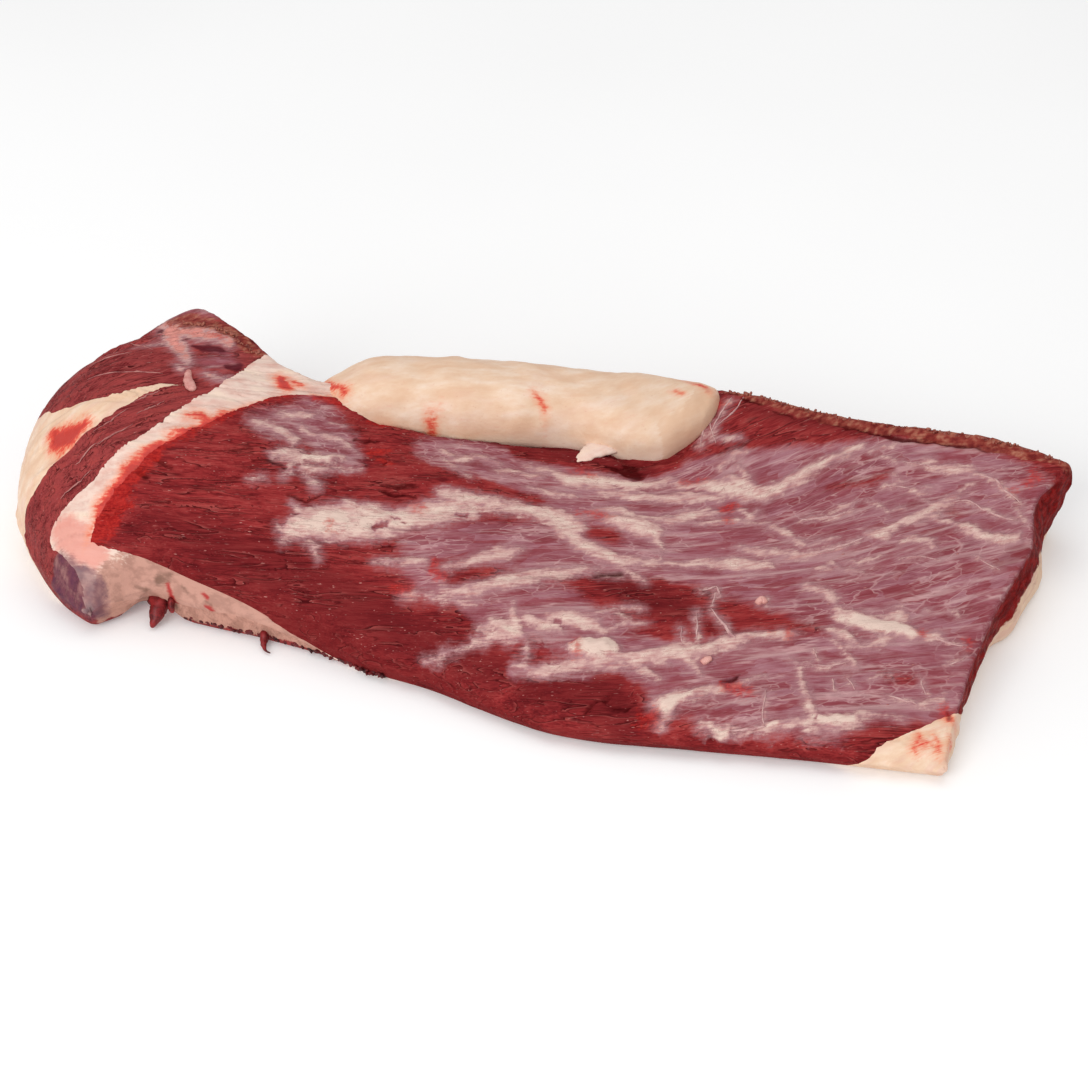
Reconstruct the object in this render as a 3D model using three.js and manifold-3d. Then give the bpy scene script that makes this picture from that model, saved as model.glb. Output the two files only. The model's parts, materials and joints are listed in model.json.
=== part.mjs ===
// A raw whole brisket, lean side up, as a stack of closed solids in millimetres with +Z up.
//
// X runs along the grain, from the thick point end (-X) to the squared-off flat end (+X).
// Y runs from the near edge to the far edge, and the brisket lies on the plane z = 0 on its fat cap.
// The tables below share one plan frame, and the group then moves so that its box stands centred
// on the origin.
//
// One envelope holds the whole cut. It is a four-sided patch between the near, far, left and right
// outlines, with a table of heights over it. Sheets then cut the envelope into its layers: the flat
// muscle on top, the seam of fat below it, the point muscle, and the fat cap. At the point end the
// sheets turn up and come out at the surface, one beside the other. The thick lump of hard fat lies
// on the far edge as a solid of its own.
import * as THREE from "three";
import { mergeVertices } from "three/addons/utils/BufferGeometryUtils.js";
import Module from "manifold-3d";

// ---------- driving dimensions, in millimetres ----------

// The outline seen from above, as four edges. Each list runs at about even steps.
const NEAR_EDGE = [[-201, -103], [-180, -85], [-150, -86], [-120, -88], [-90, -92], [-60, -100], [-30, -105],
  [0, -114], [30, -121], [60, -121], [90, -117], [120, -113], [150, -109], [180, -106], [211, -103]];
const FAR_EDGE = [[-216, 67], [-192, 64], [-168, 53], [-143, 43], [-118, 46], [-92, 59], [-60, 72], [-25, 84],
  [10, 97], [45, 110], [80, 114], [115, 111], [150, 110], [185, 110], [216, 108], [245, 96]];
const POINT_END = [[-201, -103], [-223, -91], [-244, -71], [-261, -50], [-269, -25], [-272, 0], [-262, 22],
  [-240, 43], [-216, 67]];
const FLAT_END = [[211, -103], [212, -70], [214, -42], [219, -10], [226, 16], [233, 43], [238, 70],
  [245, 96]];

// How far the cut at the flat end leans in at the top, from the near corner to the far one (out, where
// it is below zero), and the
// share of the length over which the lean side takes that up.
const FLAT_END_LEAN = [0, -1, -2, -2, -1, 3, 0];
const LEAN_SHARE = 1 / 6;

// The length and width that the shares along and across stand for, on average.
const LENGTH = 490;
const WIDTH = 185;

// Heights of the lean side, before its edges are rounded over: a row for each step across, from the
// near edge to the far edge, and a column for each tenth of the length, from the point end.
const TOP_HEIGHTS = [
  [36, 46, 34, 26, 22, 20, 20, 20, 20, 19, 18],
  [42, 66, 60, 52, 44, 39, 35, 31, 28, 26, 25],
  [50, 78, 76, 68, 57, 49, 43, 38, 35, 33, 32],
  [60, 82, 79, 68, 54, 46, 43, 41, 40, 39, 39],
  [86, 83, 69, 58, 50, 47, 52, 48, 47, 47, 47],
];

// How each side turns over: reach and height of the roll at the top and at the foot.
const SIDES = {
  near: { topReach: 30, topShare: 0.5, footReach: 9, footShare: 0.25 },
  far: { topReach: 8, topShare: 0.8, footReach: 8, footShare: 0.2 },
  point: { topReach: 26, topShare: 0.5, footReach: 10, footShare: 0.25 },
  flat: { topReach: 5, topShare: 0.88, footReach: 5, footShare: 0.12 },
};

// Near the point end the near edge stands off the surface below it in a low arch.
const ARCH = { middleX: -177, halfLength: 12, depth: 26, lift: 14 };

// Where the seam under the flat and the top of the point come out on the lean side: X of each line,
// at even steps of Y.
const LINE_FIRST_Y = -100;
const LINE_LAST_Y = 80;
const FLAT_LINE_X = [-206, -206, -193, -182, -166, -156, -139, -105, -75, -50];
const POINT_LINE_X = [-205, -229, -210, -195, -185, -175, -168, -162, -152, -142];

// How sharply each sheet turns up towards its line.
const TURN_UP = { seam: 16, point: 22, corner: 7 };

// Heights inside the cut of the seam's top and the fat cap's top, and the seam's thickness, at the
// same steps as TOP_HEIGHTS. The cap takes over from the seam where the point runs out.
const SEAM_TOP = [
  [44, 32, 23, 8, 2, 2, 2, 2, 2, 2, 2],
  [44, 36, 24, 15, 11, 9, 8, 8, 8, 8, 8],
  [42, 40, 36, 28, 19, 12, 9, 9, 9, 9, 9],
  [46, 46, 40, 32, 22, 14, 10, 9, 9, 9, 9],
  [50, 46, 38, 30, 20, 13, 10, 10, 10, 10, 10],
];
const SEAM_THICKNESS = [34, 22, 10, 6, 5, 5, 5, 5, 5, 5, 5];
const CAP_TOP = [
  [-6, -6, -6, -4, 3, 14, 40, 60, 60, 60, 60],
  [6, 5, 6, 7, 8, 14, 40, 60, 60, 60, 60],
  [8, 8, 8, 8, 9, 14, 40, 60, 60, 60, 60],
  [9, 9, 9, 9, 9, 14, 40, 60, 60, 60, 60],
  [9, 9, 9, 9, 9, 14, 40, 60, 60, 60, 60],
];

// By how much the flat's near edge is drawn down past the fat cap, at even steps along the length,
// and how quickly that fades inwards.
const NEAR_DROP = [0, 0, 3, 6, 8, 8, 8, 8, 8, 8, 6];
const NEAR_DROP_REACH = 6;

// The fold of fat in the point end, seen from above: its two sides meet at the apex.
const FOLD_APEX = [-187, 3];
const FOLD_NEAR_SIDE = [[-198, -7], [-205, -18], [-213, -31], [-219, -38], [-228, -45], [-239, -53],
  [-250, -61], [-264, -72]];
const FOLD_FAR_SIDE = [[-199, -3], [-208, -10], [-215, -16], [-221, -20], [-229, -22], [-240, -21],
  [-252, -18], [-266, -8], [-290, 8]];

// How much further than its sides the fold's sharp apex moves when the fold grows, in X and Y.
const APEX_SHIFT = [2.4, 2];

// The near corner of the flat end, where the fat cap shows on the lean side beyond this line.
const CORNER_LINE = [[177, -107], [212, -77]];

// The lump of hard fat: its middle line, and at the same steps half its depth in Y and its rise and
// drop above and below that line. Each end tapers off over this share of the lump's length.
const LUMP = {
  middle: [[-136, 42, 53], [-108, 50, 50], [-75, 58, 48], [-40, 67, 47], [-5, 77, 45], [28, 80, 43],
    [44, 83, 43], [53, 88, 44], [59, 92, 45], [64, 96, 46]],
  halfDepth: [13, 25, 27, 26, 25, 29, 28, 22, 16, 10],
  rise: [12, 21, 24, 23, 20, 18, 16, 14, 11, 8],
  drop: [12, 20, 22, 22, 22, 20, 18, 14, 10, 8],
  taper: 0.1,
};
const LUMP_STEPS = [30, 18];

// Between two layers that touch.
const GAP = 0.3;

// Steps along and across the envelope and the sheets, and how far they crowd towards the rims.
const ENVELOPE_STEPS = [46, 18];
const WALL_RINGS = 3;
const SHEET_STEPS = [36, 12];
const CROWDING = 0.55;

// The sheets run out past the envelope by this share, and the solids below them go down to here.
const SHEET_OVERHANG = 0.03;
const FLOOR_BELOW = -60;
const PRISM_HEIGHT = 200;

// ---------- curves and tables ----------

// One value between others at even steps, by a Catmull-Rom curve through them.
function through(values, share) {
  const place = THREE.MathUtils.clamp(share, 0, 1) * (values.length - 1);
  const i = Math.min(Math.floor(place), values.length - 2);
  const u = place - i;
  const [p0, p1, p2, p3] = [i - 1, i, i + 1, i + 2].map(
    (k) => values[THREE.MathUtils.clamp(k, 0, values.length - 1)],
  );
  const slope1 = (p2 - p0) / 2;
  const slope2 = (p3 - p1) / 2;
  return p1 + slope1 * u + (3 * (p2 - p1) - 2 * slope1 - slope2) * u * u
    + (2 * (p1 - p2) + slope1 + slope2) * u ** 3;
}

const alongCurve = (points, share) => points[0].map((_, k) => through(points.map((p) => p[k]), share));
const inTable = (rows, s, t) => through(rows.map((row) => through(row, s)), t);

// The plan position at shares s along and t across: a Coons patch between the four edges. Past the
// edges it goes on straight out.
function planPoint(s, t) {
  const a = THREE.MathUtils.clamp(s, 0, 1);
  const b = THREE.MathUtils.clamp(t, 0, 1);
  const near = alongCurve(NEAR_EDGE, a);
  const far = alongCurve(FAR_EDGE, a);
  const left = alongCurve(POINT_END, b);
  const right = alongCurve(FLAT_END, b);
  const past = [(s - a) * LENGTH, (t - b) * WIDTH];
  return [0, 1].map((k) => past[k] + (1 - b) * near[k] + b * far[k] + (1 - a) * left[k] + a * right[k]
    - (1 - a) * (1 - b) * NEAR_EDGE[0][k] - a * (1 - b) * NEAR_EDGE.at(-1)[k]
    - (1 - a) * b * FAR_EDGE[0][k] - a * b * FAR_EDGE.at(-1)[k]);
}

const topHeight = (s, t) => inTable(TOP_HEIGHTS, s, t);

// ---------- the envelope ----------

// A quarter turn from `edge` at the rim up to 1 at `reach` inside it.
function roll(distance, reach, edge) {
  const u = Math.max(0, 1 - distance / reach);
  return edge + (1 - edge) * Math.sqrt(1 - u * u);
}

function sideDistances(s, t) {
  return [[SIDES.near, t * WIDTH], [SIDES.far, (1 - t) * WIDTH],
    [SIDES.point, s * LENGTH], [SIDES.flat, (1 - s) * LENGTH]];
}

// The lean side's height, with its edges rounded over.
function leanHeight(s, t) {
  let share = 1;
  for (const [side, d] of sideDistances(s, t)) share *= roll(Math.max(0, d), side.topReach, side.topShare);
  return topHeight(s, t) * share;
}

function topPoint(s, t) {
  const [x, y] = planPoint(s, t);
  const lean = through(FLAT_END_LEAN, t) * Math.max(0, 1 - (1 - s) / LEAN_SHARE);
  return [x - lean, y, leanHeight(s, t)];
}

function footPoint(s, t) {
  const [x, y] = planPoint(s, t);
  let rest = 1;
  for (const [side, d] of sideDistances(s, t)) {
    rest *= 1 - side.footShare * (1 - roll(d, side.footReach, 0));
  }
  const arch = ARCH.lift * Math.exp(-(((x - ARCH.middleX) / ARCH.halfLength) ** 2))
    * Math.max(0, 1 - t * WIDTH / ARCH.depth);
  return [x, y, Math.max(topHeight(s, t) * (1 - rest), arch)];
}

// Even steps, drawn in towards both ends so that the rolled edges get more of them.
const spread = (u) => THREE.MathUtils.lerp(u, (1 - Math.cos(Math.PI * u)) / 2, CROWDING);

// A closed solid between two sheets over the same shares, with upright walls round the rim.
function closedGrid(topAt, footAt, [along, across], rings) {
  const vertices = [];
  const triangles = [];
  const push = (p) => vertices.push(p) - 1;
  const quad = (a, b, c, d) => triangles.push([a, b, c], [a, c, d]);
  const layer = (at) => Array.from({ length: along + 1 }, (_, i) =>
    Array.from({ length: across + 1 }, (_, j) => push(at(spread(i / along), spread(j / across)))));
  const top = layer(topAt);
  const foot = layer(footAt);
  for (let i = 0; i < along; i++) {
    for (let j = 0; j < across; j++) {
      quad(top[i][j], top[i + 1][j], top[i + 1][j + 1], top[i][j + 1]);
      quad(foot[i][j], foot[i][j + 1], foot[i + 1][j + 1], foot[i + 1][j]);
    }
  }
  const rim = (grid) => [
    ...grid.slice(0, -1).map((column) => column[0]),
    ...grid[along].slice(0, -1),
    ...grid.slice(1).reverse().map((column) => column[across]),
    ...grid[0].slice(1).reverse(),
  ];
  let upper = rim(top);
  const lower = rim(foot);
  const highest = upper.map((v) => vertices[v]);
  const lowest = lower.map((v) => vertices[v]);
  for (let ring = 1; ring <= rings; ring++) {
    const next = ring === rings ? lower : highest.map((p, k) =>
      push(p.map((value, axis) => THREE.MathUtils.lerp(value, lowest[k][axis], ring / rings))));
    upper.forEach((v, k) => {
      const n = (k + 1) % upper.length;
      quad(v, next[k], next[n], upper[n]);
    });
    upper = next;
  }
  return solidOf(vertices.flat(), triangles.flat());
}

// ---------- the sheets between the layers ----------

const lineX = (xs, y) => through(xs, (y - LINE_FIRST_Y) / (LINE_LAST_Y - LINE_FIRST_Y));

// A sheet that lies at `inside` and turns up to meet the lean side where `distance` is 0.
function turnedUp(inside, top, distance, reach) {
  return distance > 0 ? inside + (top - inside) * Math.exp(-distance / reach) : top - distance;
}

function cornerDistance(x, y) {
  const [[x0, y0], [x1, y1]] = CORNER_LINE;
  return ((x1 - x0) * (y - y0) - (y1 - y0) * (x - x0)) / Math.hypot(x1 - x0, y1 - y0);
}

function seamTop(s, t) {
  const [x, y] = planPoint(s, t);
  const drop = through(NEAR_DROP, s) * Math.exp(-Math.max(0, t) * WIDTH / NEAR_DROP_REACH);
  const inside = inTable(SEAM_TOP, s, t) - drop;
  const top = leanHeight(s, t);
  return Math.max(
    turnedUp(inside, top, x - lineX(FLAT_LINE_X, y), TURN_UP.seam),
    turnedUp(inside, top, cornerDistance(x, y), TURN_UP.corner),
  );
}

function pointTop(s, t) {
  const [x, y] = planPoint(s, t);
  const inside = inTable(SEAM_TOP, s, t) - through(SEAM_THICKNESS, s);
  return turnedUp(inside, leanHeight(s, t), x - lineX(POINT_LINE_X, y), TURN_UP.point);
}

const capTop = (s, t) => inTable(CAP_TOP, s, t);

// ---------- solids ----------

const wasm = await Module();
wasm.setup();

function solidOf(numbers, corners) {
  return new wasm.Manifold(new wasm.Mesh({
    numProp: 3,
    vertProperties: new Float32Array(numbers),
    triVerts: new Uint32Array(corners),
  }));
}

// Everything below a sheet of heights, out past the envelope on all sides.
function below(heightAt, shift) {
  const widen = (u) => u * (1 + 2 * SHEET_OVERHANG) - SHEET_OVERHANG;
  const at = (height) => (u, v) => [...planPoint(widen(u), widen(v)), height(widen(u), widen(v))];
  return closedGrid(at((s, t) => heightAt(s, t) + shift), at(() => FLOOR_BELOW), SHEET_STEPS, 1);
}

// The fold's outline, moved outward by `grown` and stood up as a prism through the whole cut.
function fold(grown) {
  const outline = new THREE.Shape([
    new THREE.Vector2(FOLD_APEX[0] + APEX_SHIFT[0] * grown, FOLD_APEX[1] + APEX_SHIFT[1] * grown),
    ...FOLD_FAR_SIDE.map(([x, y]) => new THREE.Vector2(x, y + grown)),
    ...FOLD_NEAR_SIDE.toReversed().map(([x, y]) => new THREE.Vector2(x, y - grown)),
  ]);
  const prism = new THREE.ExtrudeGeometry(outline, { depth: PRISM_HEIGHT, bevelEnabled: false });
  prism.translate(0, 0, FLOOR_BELOW).deleteAttribute("normal").deleteAttribute("uv");
  const merged = mergeVertices(prism);
  return solidOf(merged.attributes.position.array, merged.index.array);
}

// The lump: rings of an ellipse along its middle line, closed to a point at both ends.
function lump() {
  const [along, around] = LUMP_STEPS;
  const vertices = [alongCurve(LUMP.middle, 0)];
  for (let i = 1; i < along; i++) {
    const s = i / along;
    const [x, y, z] = alongCurve(LUMP.middle, s);
    const size = roll(Math.min(s, 1 - s), LUMP.taper, 0);
    for (let j = 0; j < around; j++) {
      const angle = 2 * Math.PI * j / around;
      const height = Math.sin(angle) > 0 ? LUMP.rise : LUMP.drop;
      vertices.push([
        x,
        y + size * through(LUMP.halfDepth, s) * Math.cos(angle),
        z + size * through(height, s) * Math.sin(angle),
      ]);
    }
  }
  const last = vertices.push(alongCurve(LUMP.middle, 1)) - 1;
  const triangles = [];
  const ring = (i, j) => 1 + (i - 1) * around + (j % around);
  for (let j = 0; j < around; j++) {
    triangles.push([0, ring(1, j + 1), ring(1, j)], [last, ring(along - 1, j), ring(along - 1, j + 1)]);
    for (let i = 1; i < along - 1; i++) {
      triangles.push([ring(i, j), ring(i, j + 1), ring(i + 1, j + 1)]);
      triangles.push([ring(i, j), ring(i + 1, j + 1), ring(i + 1, j)]);
    }
  }
  return solidOf(vertices.flat(), triangles.flat());
}

// Sheets that cross at a shallow angle leave slivers beside a layer, which are dropped.
const largest = (solid) => solid.decompose().reduce((a, b) => (a.volume() > b.volume() ? a : b));

const envelope = closedGrid(topPoint, footPoint, ENVELOPE_STEPS, WALL_RINGS);
const underFlat = envelope.intersect(below(seamTop, -GAP / 2));
const underSeam = underFlat.intersect(below(pointTop, -GAP / 2));
const capAndGap = below(capTop, GAP / 2);
const layers = {
  flat_muscle: envelope.subtract(below(seamTop, GAP / 2)),
  seam_fat: underFlat.subtract(below(pointTop, GAP / 2)).subtract(capAndGap),
  point_muscle: underSeam.subtract(capAndGap).subtract(fold(GAP / 2)),
  fat_cap: underFlat.intersect(below(capTop, -GAP / 2)).add(underSeam.intersect(fold(-GAP / 2))),
  deckle_fat: lump().subtract(envelope).subtract(envelope.translate(0, GAP, GAP)),
};

// ---------- the model ----------

const COLOURS = {
  flat_muscle: 0x8c3533,
  seam_fat: 0xeacfbf,
  point_muscle: 0x7f3837,
  fat_cap: 0xf0dcc8,
  deckle_fat: 0xf2d3ba,
};
const ROUGHNESS = { flat_muscle: 0.45, seam_fat: 0.55, point_muscle: 0.5, fat_cap: 0.6, deckle_fat: 0.5 };

const brisket = new THREE.Group();
for (const [name, solid] of Object.entries(layers)) {
  const { vertProperties, triVerts } = largest(solid).getMesh();
  const mesh = new THREE.Mesh(
    new THREE.BufferGeometry()
      .setAttribute("position", new THREE.BufferAttribute(vertProperties, 3))
      .setIndex(new THREE.BufferAttribute(triVerts, 1)),
    new THREE.MeshStandardMaterial({ color: COLOURS[name], roughness: ROUGHNESS[name], metalness: 0 }),
  );
  mesh.name = name;
  brisket.add(mesh);
}
const middle = new THREE.Box3().setFromObject(brisket).getCenter(new THREE.Vector3());
brisket.position.set(-middle.x, -middle.y, 0);

export default brisket;
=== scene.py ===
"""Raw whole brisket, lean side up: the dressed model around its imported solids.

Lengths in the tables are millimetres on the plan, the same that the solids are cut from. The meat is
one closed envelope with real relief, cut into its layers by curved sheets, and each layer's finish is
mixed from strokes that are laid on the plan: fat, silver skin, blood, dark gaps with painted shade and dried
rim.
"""

import json
import math

import bmesh
import bpy
import numpy as np
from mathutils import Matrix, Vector

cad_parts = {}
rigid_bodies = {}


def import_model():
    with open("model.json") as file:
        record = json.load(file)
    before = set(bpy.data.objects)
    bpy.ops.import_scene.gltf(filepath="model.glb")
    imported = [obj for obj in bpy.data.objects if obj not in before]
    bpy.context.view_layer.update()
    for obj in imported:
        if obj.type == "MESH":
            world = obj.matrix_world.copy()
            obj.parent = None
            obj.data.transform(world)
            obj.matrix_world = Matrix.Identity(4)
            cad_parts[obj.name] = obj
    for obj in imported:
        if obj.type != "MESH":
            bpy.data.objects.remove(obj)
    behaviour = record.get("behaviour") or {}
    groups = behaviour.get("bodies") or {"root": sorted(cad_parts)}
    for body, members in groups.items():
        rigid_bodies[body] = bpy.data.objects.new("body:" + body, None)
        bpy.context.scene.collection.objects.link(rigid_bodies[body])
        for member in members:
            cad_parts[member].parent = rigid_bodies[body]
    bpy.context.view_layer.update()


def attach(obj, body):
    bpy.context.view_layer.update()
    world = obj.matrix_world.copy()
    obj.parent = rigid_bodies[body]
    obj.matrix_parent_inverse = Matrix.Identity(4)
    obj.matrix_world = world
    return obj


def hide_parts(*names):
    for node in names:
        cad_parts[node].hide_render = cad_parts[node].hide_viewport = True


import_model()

bl_info = {
    "name": "Raw whole brisket",
    "version": (1, 0, 0),
    "blender": (4, 5, 0),
    "location": "View3D > Sidebar > Brisket",
    "description": "Builds a raw whole brisket: flat, seam fat, point, fat cap and hard fat",
    "category": "Add Mesh",
}

MM = 0.001
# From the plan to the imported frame, whose origin is the middle of the foot.
PLAN_SHIFT = np.array([13.46, 3.814])

# ---- The outline and heights, as in the solids ----

NEAR_EDGE = [
    (-201, -103), (-180, -85), (-150, -86), (-120, -88), (-90, -92), (-60, -100), (-30, -105), (0, -114),
    (30, -121), (60, -121), (90, -117), (120, -113), (150, -109), (180, -106), (211, -103),
]
FAR_EDGE = [(-216, 67), (-192, 64), (-168, 53), (-143, 43), (-118, 46), (-92, 59), (-60, 72), (-25, 84),
            (10, 97), (45, 110), (80, 114), (115, 111), (150, 110), (185, 110), (216, 108), (245, 96)]
POINT_END = [(-201, -103), (-223, -91), (-244, -71), (-261, -50), (-269, -25), (-272, 0), (-262, 22),
             (-240, 43), (-216, 67)]
FLAT_END = [(211, -103), (212, -70), (214, -42), (219, -10), (226, 16), (233, 43), (238, 70), (245, 96)]
FLAT_END_LEAN = [0, -1, -2, -2, -1, 3, 0]
LEAN_SHARE = 1 / 6
LENGTH = 490
WIDTH = 185
TOP_HEIGHTS = [
    [36, 46, 34, 26, 22, 20, 20, 20, 20, 19, 18],
    [42, 66, 60, 52, 44, 39, 35, 31, 28, 26, 25],
    [50, 78, 76, 68, 57, 49, 43, 38, 35, 33, 32],
    [60, 82, 79, 68, 54, 46, 43, 41, 40, 39, 39],
    [86, 83, 69, 58, 50, 47, 52, 48, 47, 47, 47],
]
# For each side: how far in the top rolls over and the share of its height left at the rim, then the
# same for the foot.
SIDES = {
    "near": (30, 0.5, 9, 0.25),
    "far": (8, 0.8, 8, 0.2),
    "point": (26, 0.5, 10, 0.25),
    "flat": (5, 0.88, 5, 0.12),
}
ARCH_MIDDLE_X = -177
ARCH_HALF_LENGTH = 12
ARCH_DEPTH = 26
ARCH_LIFT = 14
LINE_FIRST_Y = -100
LINE_LAST_Y = 80
FLAT_LINE_X = [-206, -206, -193, -182, -166, -156, -139, -105, -75, -50]
POINT_LINE_X = [-205, -229, -210, -195, -185, -175, -168, -162, -152, -142]
TURN_UP_SEAM = 16
TURN_UP_POINT = 22
TURN_UP_CORNER = 7
SEAM_TOP = [
    [44, 32, 23, 8, 2, 2, 2, 2, 2, 2, 2],
    [44, 36, 24, 15, 11, 9, 8, 8, 8, 8, 8],
    [42, 40, 36, 28, 19, 12, 9, 9, 9, 9, 9],
    [46, 46, 40, 32, 22, 14, 10, 9, 9, 9, 9],
    [50, 46, 38, 30, 20, 13, 10, 10, 10, 10, 10],
]
SEAM_THICKNESS = [34, 22, 10, 6, 5, 5, 5, 5, 5, 5, 5]
CAP_TOP = [
    [-6, -6, -6, -4, 3, 14, 40, 60, 60, 60, 60],
    [6, 5, 6, 7, 8, 14, 40, 60, 60, 60, 60],
    [8, 8, 8, 8, 9, 14, 40, 60, 60, 60, 60],
    [9, 9, 9, 9, 9, 14, 40, 60, 60, 60, 60],
    [9, 9, 9, 9, 9, 14, 40, 60, 60, 60, 60],
]
NEAR_DROP = [0, 0, 3, 6, 8, 8, 8, 8, 8, 8, 6]
NEAR_DROP_REACH = 6
FOLD_APEX = (-187, 3)
FOLD_NEAR_SIDE = [
    (-198, -7), (-205, -18), (-213, -31), (-219, -38), (-228, -45), (-239, -53), (-250, -61), (-264, -72),
]
FOLD_FAR_SIDE = [
    (-199, -3), (-208, -10), (-215, -16), (-221, -20), (-229, -22), (-240, -21), (-252, -18), (-266, -8),
    (-290, 8),
]
CORNER_LINE = [(177, -107), (212, -77)]
LUMP_MIDDLE = [
    (-136, 42, 53), (-108, 50, 50), (-75, 58, 48), (-40, 67, 47), (-5, 77, 45), (28, 80, 43), (44, 83, 43),
    (53, 88, 44), (59, 92, 45), (64, 96, 46),
]
LUMP_HALF_DEPTH = [13, 25, 27, 26, 25, 29, 28, 22, 16, 10]
LUMP_RISE = [12, 21, 24, 23, 20, 18, 16, 14, 11, 8]
LUMP_DROP = [12, 20, 22, 22, 22, 20, 18, 14, 10, 8]
LUMP_TAPER = 0.1


def cubic(before, a, b, after, part):
    """From a to b on a smooth curve that heeds the values before and after them."""
    leave, arrive = (b - before) / 2, (after - a) / 2
    return (a + leave * part + (3 * (b - a) - 2 * leave - arrive) * part**2
            + (2 * (a - b) + leave + arrive) * part**3)


def steps_to(share, last):
    """The value that a share of the way comes after, of those numbered up to last, and how far past it."""
    place = np.clip(np.asarray(share, float), 0, 1) * last
    start = np.minimum(place.astype(int), last - 1)
    return start, place - start


def through(values, share):
    """A smooth curve through evenly spaced values, at shares of its length from 0 to 1."""
    values = np.asarray(values, float)
    last = len(values) - 1
    start, part = steps_to(share, last)
    if values.ndim > 1:
        part = part[..., None]
    return cubic(*(values[np.clip(start + k, 0, last)] for k in (-1, 0, 1, 2)), part)


def in_table(rows, s, t):
    """The same through a table, whose columns run along the meat and its rows from near edge to far."""
    along = np.stack([through(row, s) for row in rows])
    last = len(rows) - 1
    start, part = steps_to(t, last)
    picked = (np.take_along_axis(along, np.clip(start + k, 0, last)[None], 0)[0] for k in (-1, 0, 1, 2))
    return cubic(*picked, part)


def looked_up(grid, xs, ys, x, y):
    """The value of an even grid at places between its points."""
    i = np.clip((x - xs[0]) / (xs[1] - xs[0]), 0, len(xs) - 1.001)
    j = np.clip((y - ys[0]) / (ys[1] - ys[0]), 0, len(ys) - 1.001)
    a, b = i.astype(int), j.astype(int)
    f, g = i - a, j - b
    return ((1 - f) * (1 - g) * grid[a, b] + f * (1 - g) * grid[a + 1, b] + (1 - f) * g * grid[a, b + 1]
            + f * g * grid[a + 1, b + 1])


def plan_point(s, t):
    """The plan position at shares along and across; past the edges it runs straight out."""
    inside_s, inside_t = np.clip(s, 0, 1), np.clip(t, 0, 1)
    a, b = inside_s[..., None], inside_t[..., None]
    near, far = through(NEAR_EDGE, inside_s), through(FAR_EDGE, inside_s)
    left, right = through(POINT_END, inside_t), through(FLAT_END, inside_t)
    corners = [np.array(edge[k], float) for edge in (NEAR_EDGE, FAR_EDGE) for k in (0, -1)]
    past = np.stack([(s - inside_s) * LENGTH, (t - inside_t) * WIDTH], -1)
    return (past + (1 - b) * near + b * far + (1 - a) * left + a * right - (1 - a) * (1 - b) * corners[0]
            - a * (1 - b) * corners[1] - (1 - a) * b * corners[2] - a * b * corners[3])


def roll(distance, reach, edge):
    """A rounded rim: edge at the rim itself, rising to 1 at reach."""
    off = np.maximum(0, 1 - np.maximum(0, distance) / reach)
    return edge + (1 - edge) * np.sqrt(1 - off * off)


def side_distances(s, t):
    """How far inside each side of the outline a place is."""
    return {"near": t * WIDTH, "far": (1 - t) * WIDTH, "point": s * LENGTH, "flat": (1 - s) * LENGTH}


def lean_height(s, t):
    """The smooth height of the lean side, rolled over at each rim."""
    height = in_table(TOP_HEIGHTS, s, t)
    for side, distance in side_distances(s, t).items():
        reach, edge = SIDES[side][:2]
        height = height * roll(distance, reach, edge)
    return height


def foot_height(s, t):
    """The height of the foot: low rolled rims, and the arch under the near edge."""
    rest = 1
    for side, distance in side_distances(s, t).items():
        reach, share = SIDES[side][2:]
        rest = rest * (1 - share * (1 - roll(distance, reach, 0)))
    x = plan_point(s, t)[..., 0]
    arch = ARCH_LIFT * np.exp(-(((x - ARCH_MIDDLE_X) / ARCH_HALF_LENGTH) ** 2))
    arch = arch * np.maximum(0, 1 - t * WIDTH / ARCH_DEPTH)
    return np.maximum(in_table(TOP_HEIGHTS, s, t) * (1 - rest), arch)


# ---- Smooth seeded noise ----

HASH_START = 2166136261
HASH_SEED = 374761393
HASH_PRIME = 1099511628211
HASH_MIX = 0x9E3779B97F4A7C15
OCTAVE_SHIFT = 17.3
NOISE_GAIN = 1.6


def _lattice(cells, seed):
    """One value from -1 to 1 for each cell corner, the same on each run."""
    mixed = np.full(cells.shape[:-1], HASH_START + seed * HASH_SEED, np.uint64)
    for k in range(cells.shape[-1]):
        mixed = (mixed ^ cells[..., k].astype(np.int64).astype(np.uint64)) * np.uint64(HASH_PRIME)
        mixed ^= mixed >> np.uint64(29)
    mixed = (mixed * np.uint64(HASH_MIX)) >> np.uint64(40)
    return mixed.astype(float) / float(1 << 23) - 1


def noise(points, seed=0, octaves=1):
    """Value noise from about -1 to 1 at an array of points in two or three dimensions."""
    points = np.asarray(points, float)
    total, weight, norm = 0, 1.0, 0
    for octave in range(octaves):
        at = points * 2**octave + OCTAVE_SHIFT * octave
        base = np.floor(at)
        part = at - base
        part = part * part * (3 - 2 * part)
        value = 0
        for corner in np.ndindex(*([2] * points.shape[-1])):
            shares = [part[..., k] if c else 1 - part[..., k] for k, c in enumerate(corner)]
            share = np.prod(shares, axis=0)
            value = value + share * _lattice(base + np.array(corner), seed + octave)
        total, norm, weight = total + weight * value, norm + weight, weight * 0.5
    return total / norm * NOISE_GAIN


def ease(value, low, high):
    """0 below low, 1 above high, and a smooth step between."""
    part = np.clip((value - low) / (high - low), 0, 1)
    return part * part * (3 - 2 * part)


# ---- The grain: which way the fibres run over the plan ----

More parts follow.
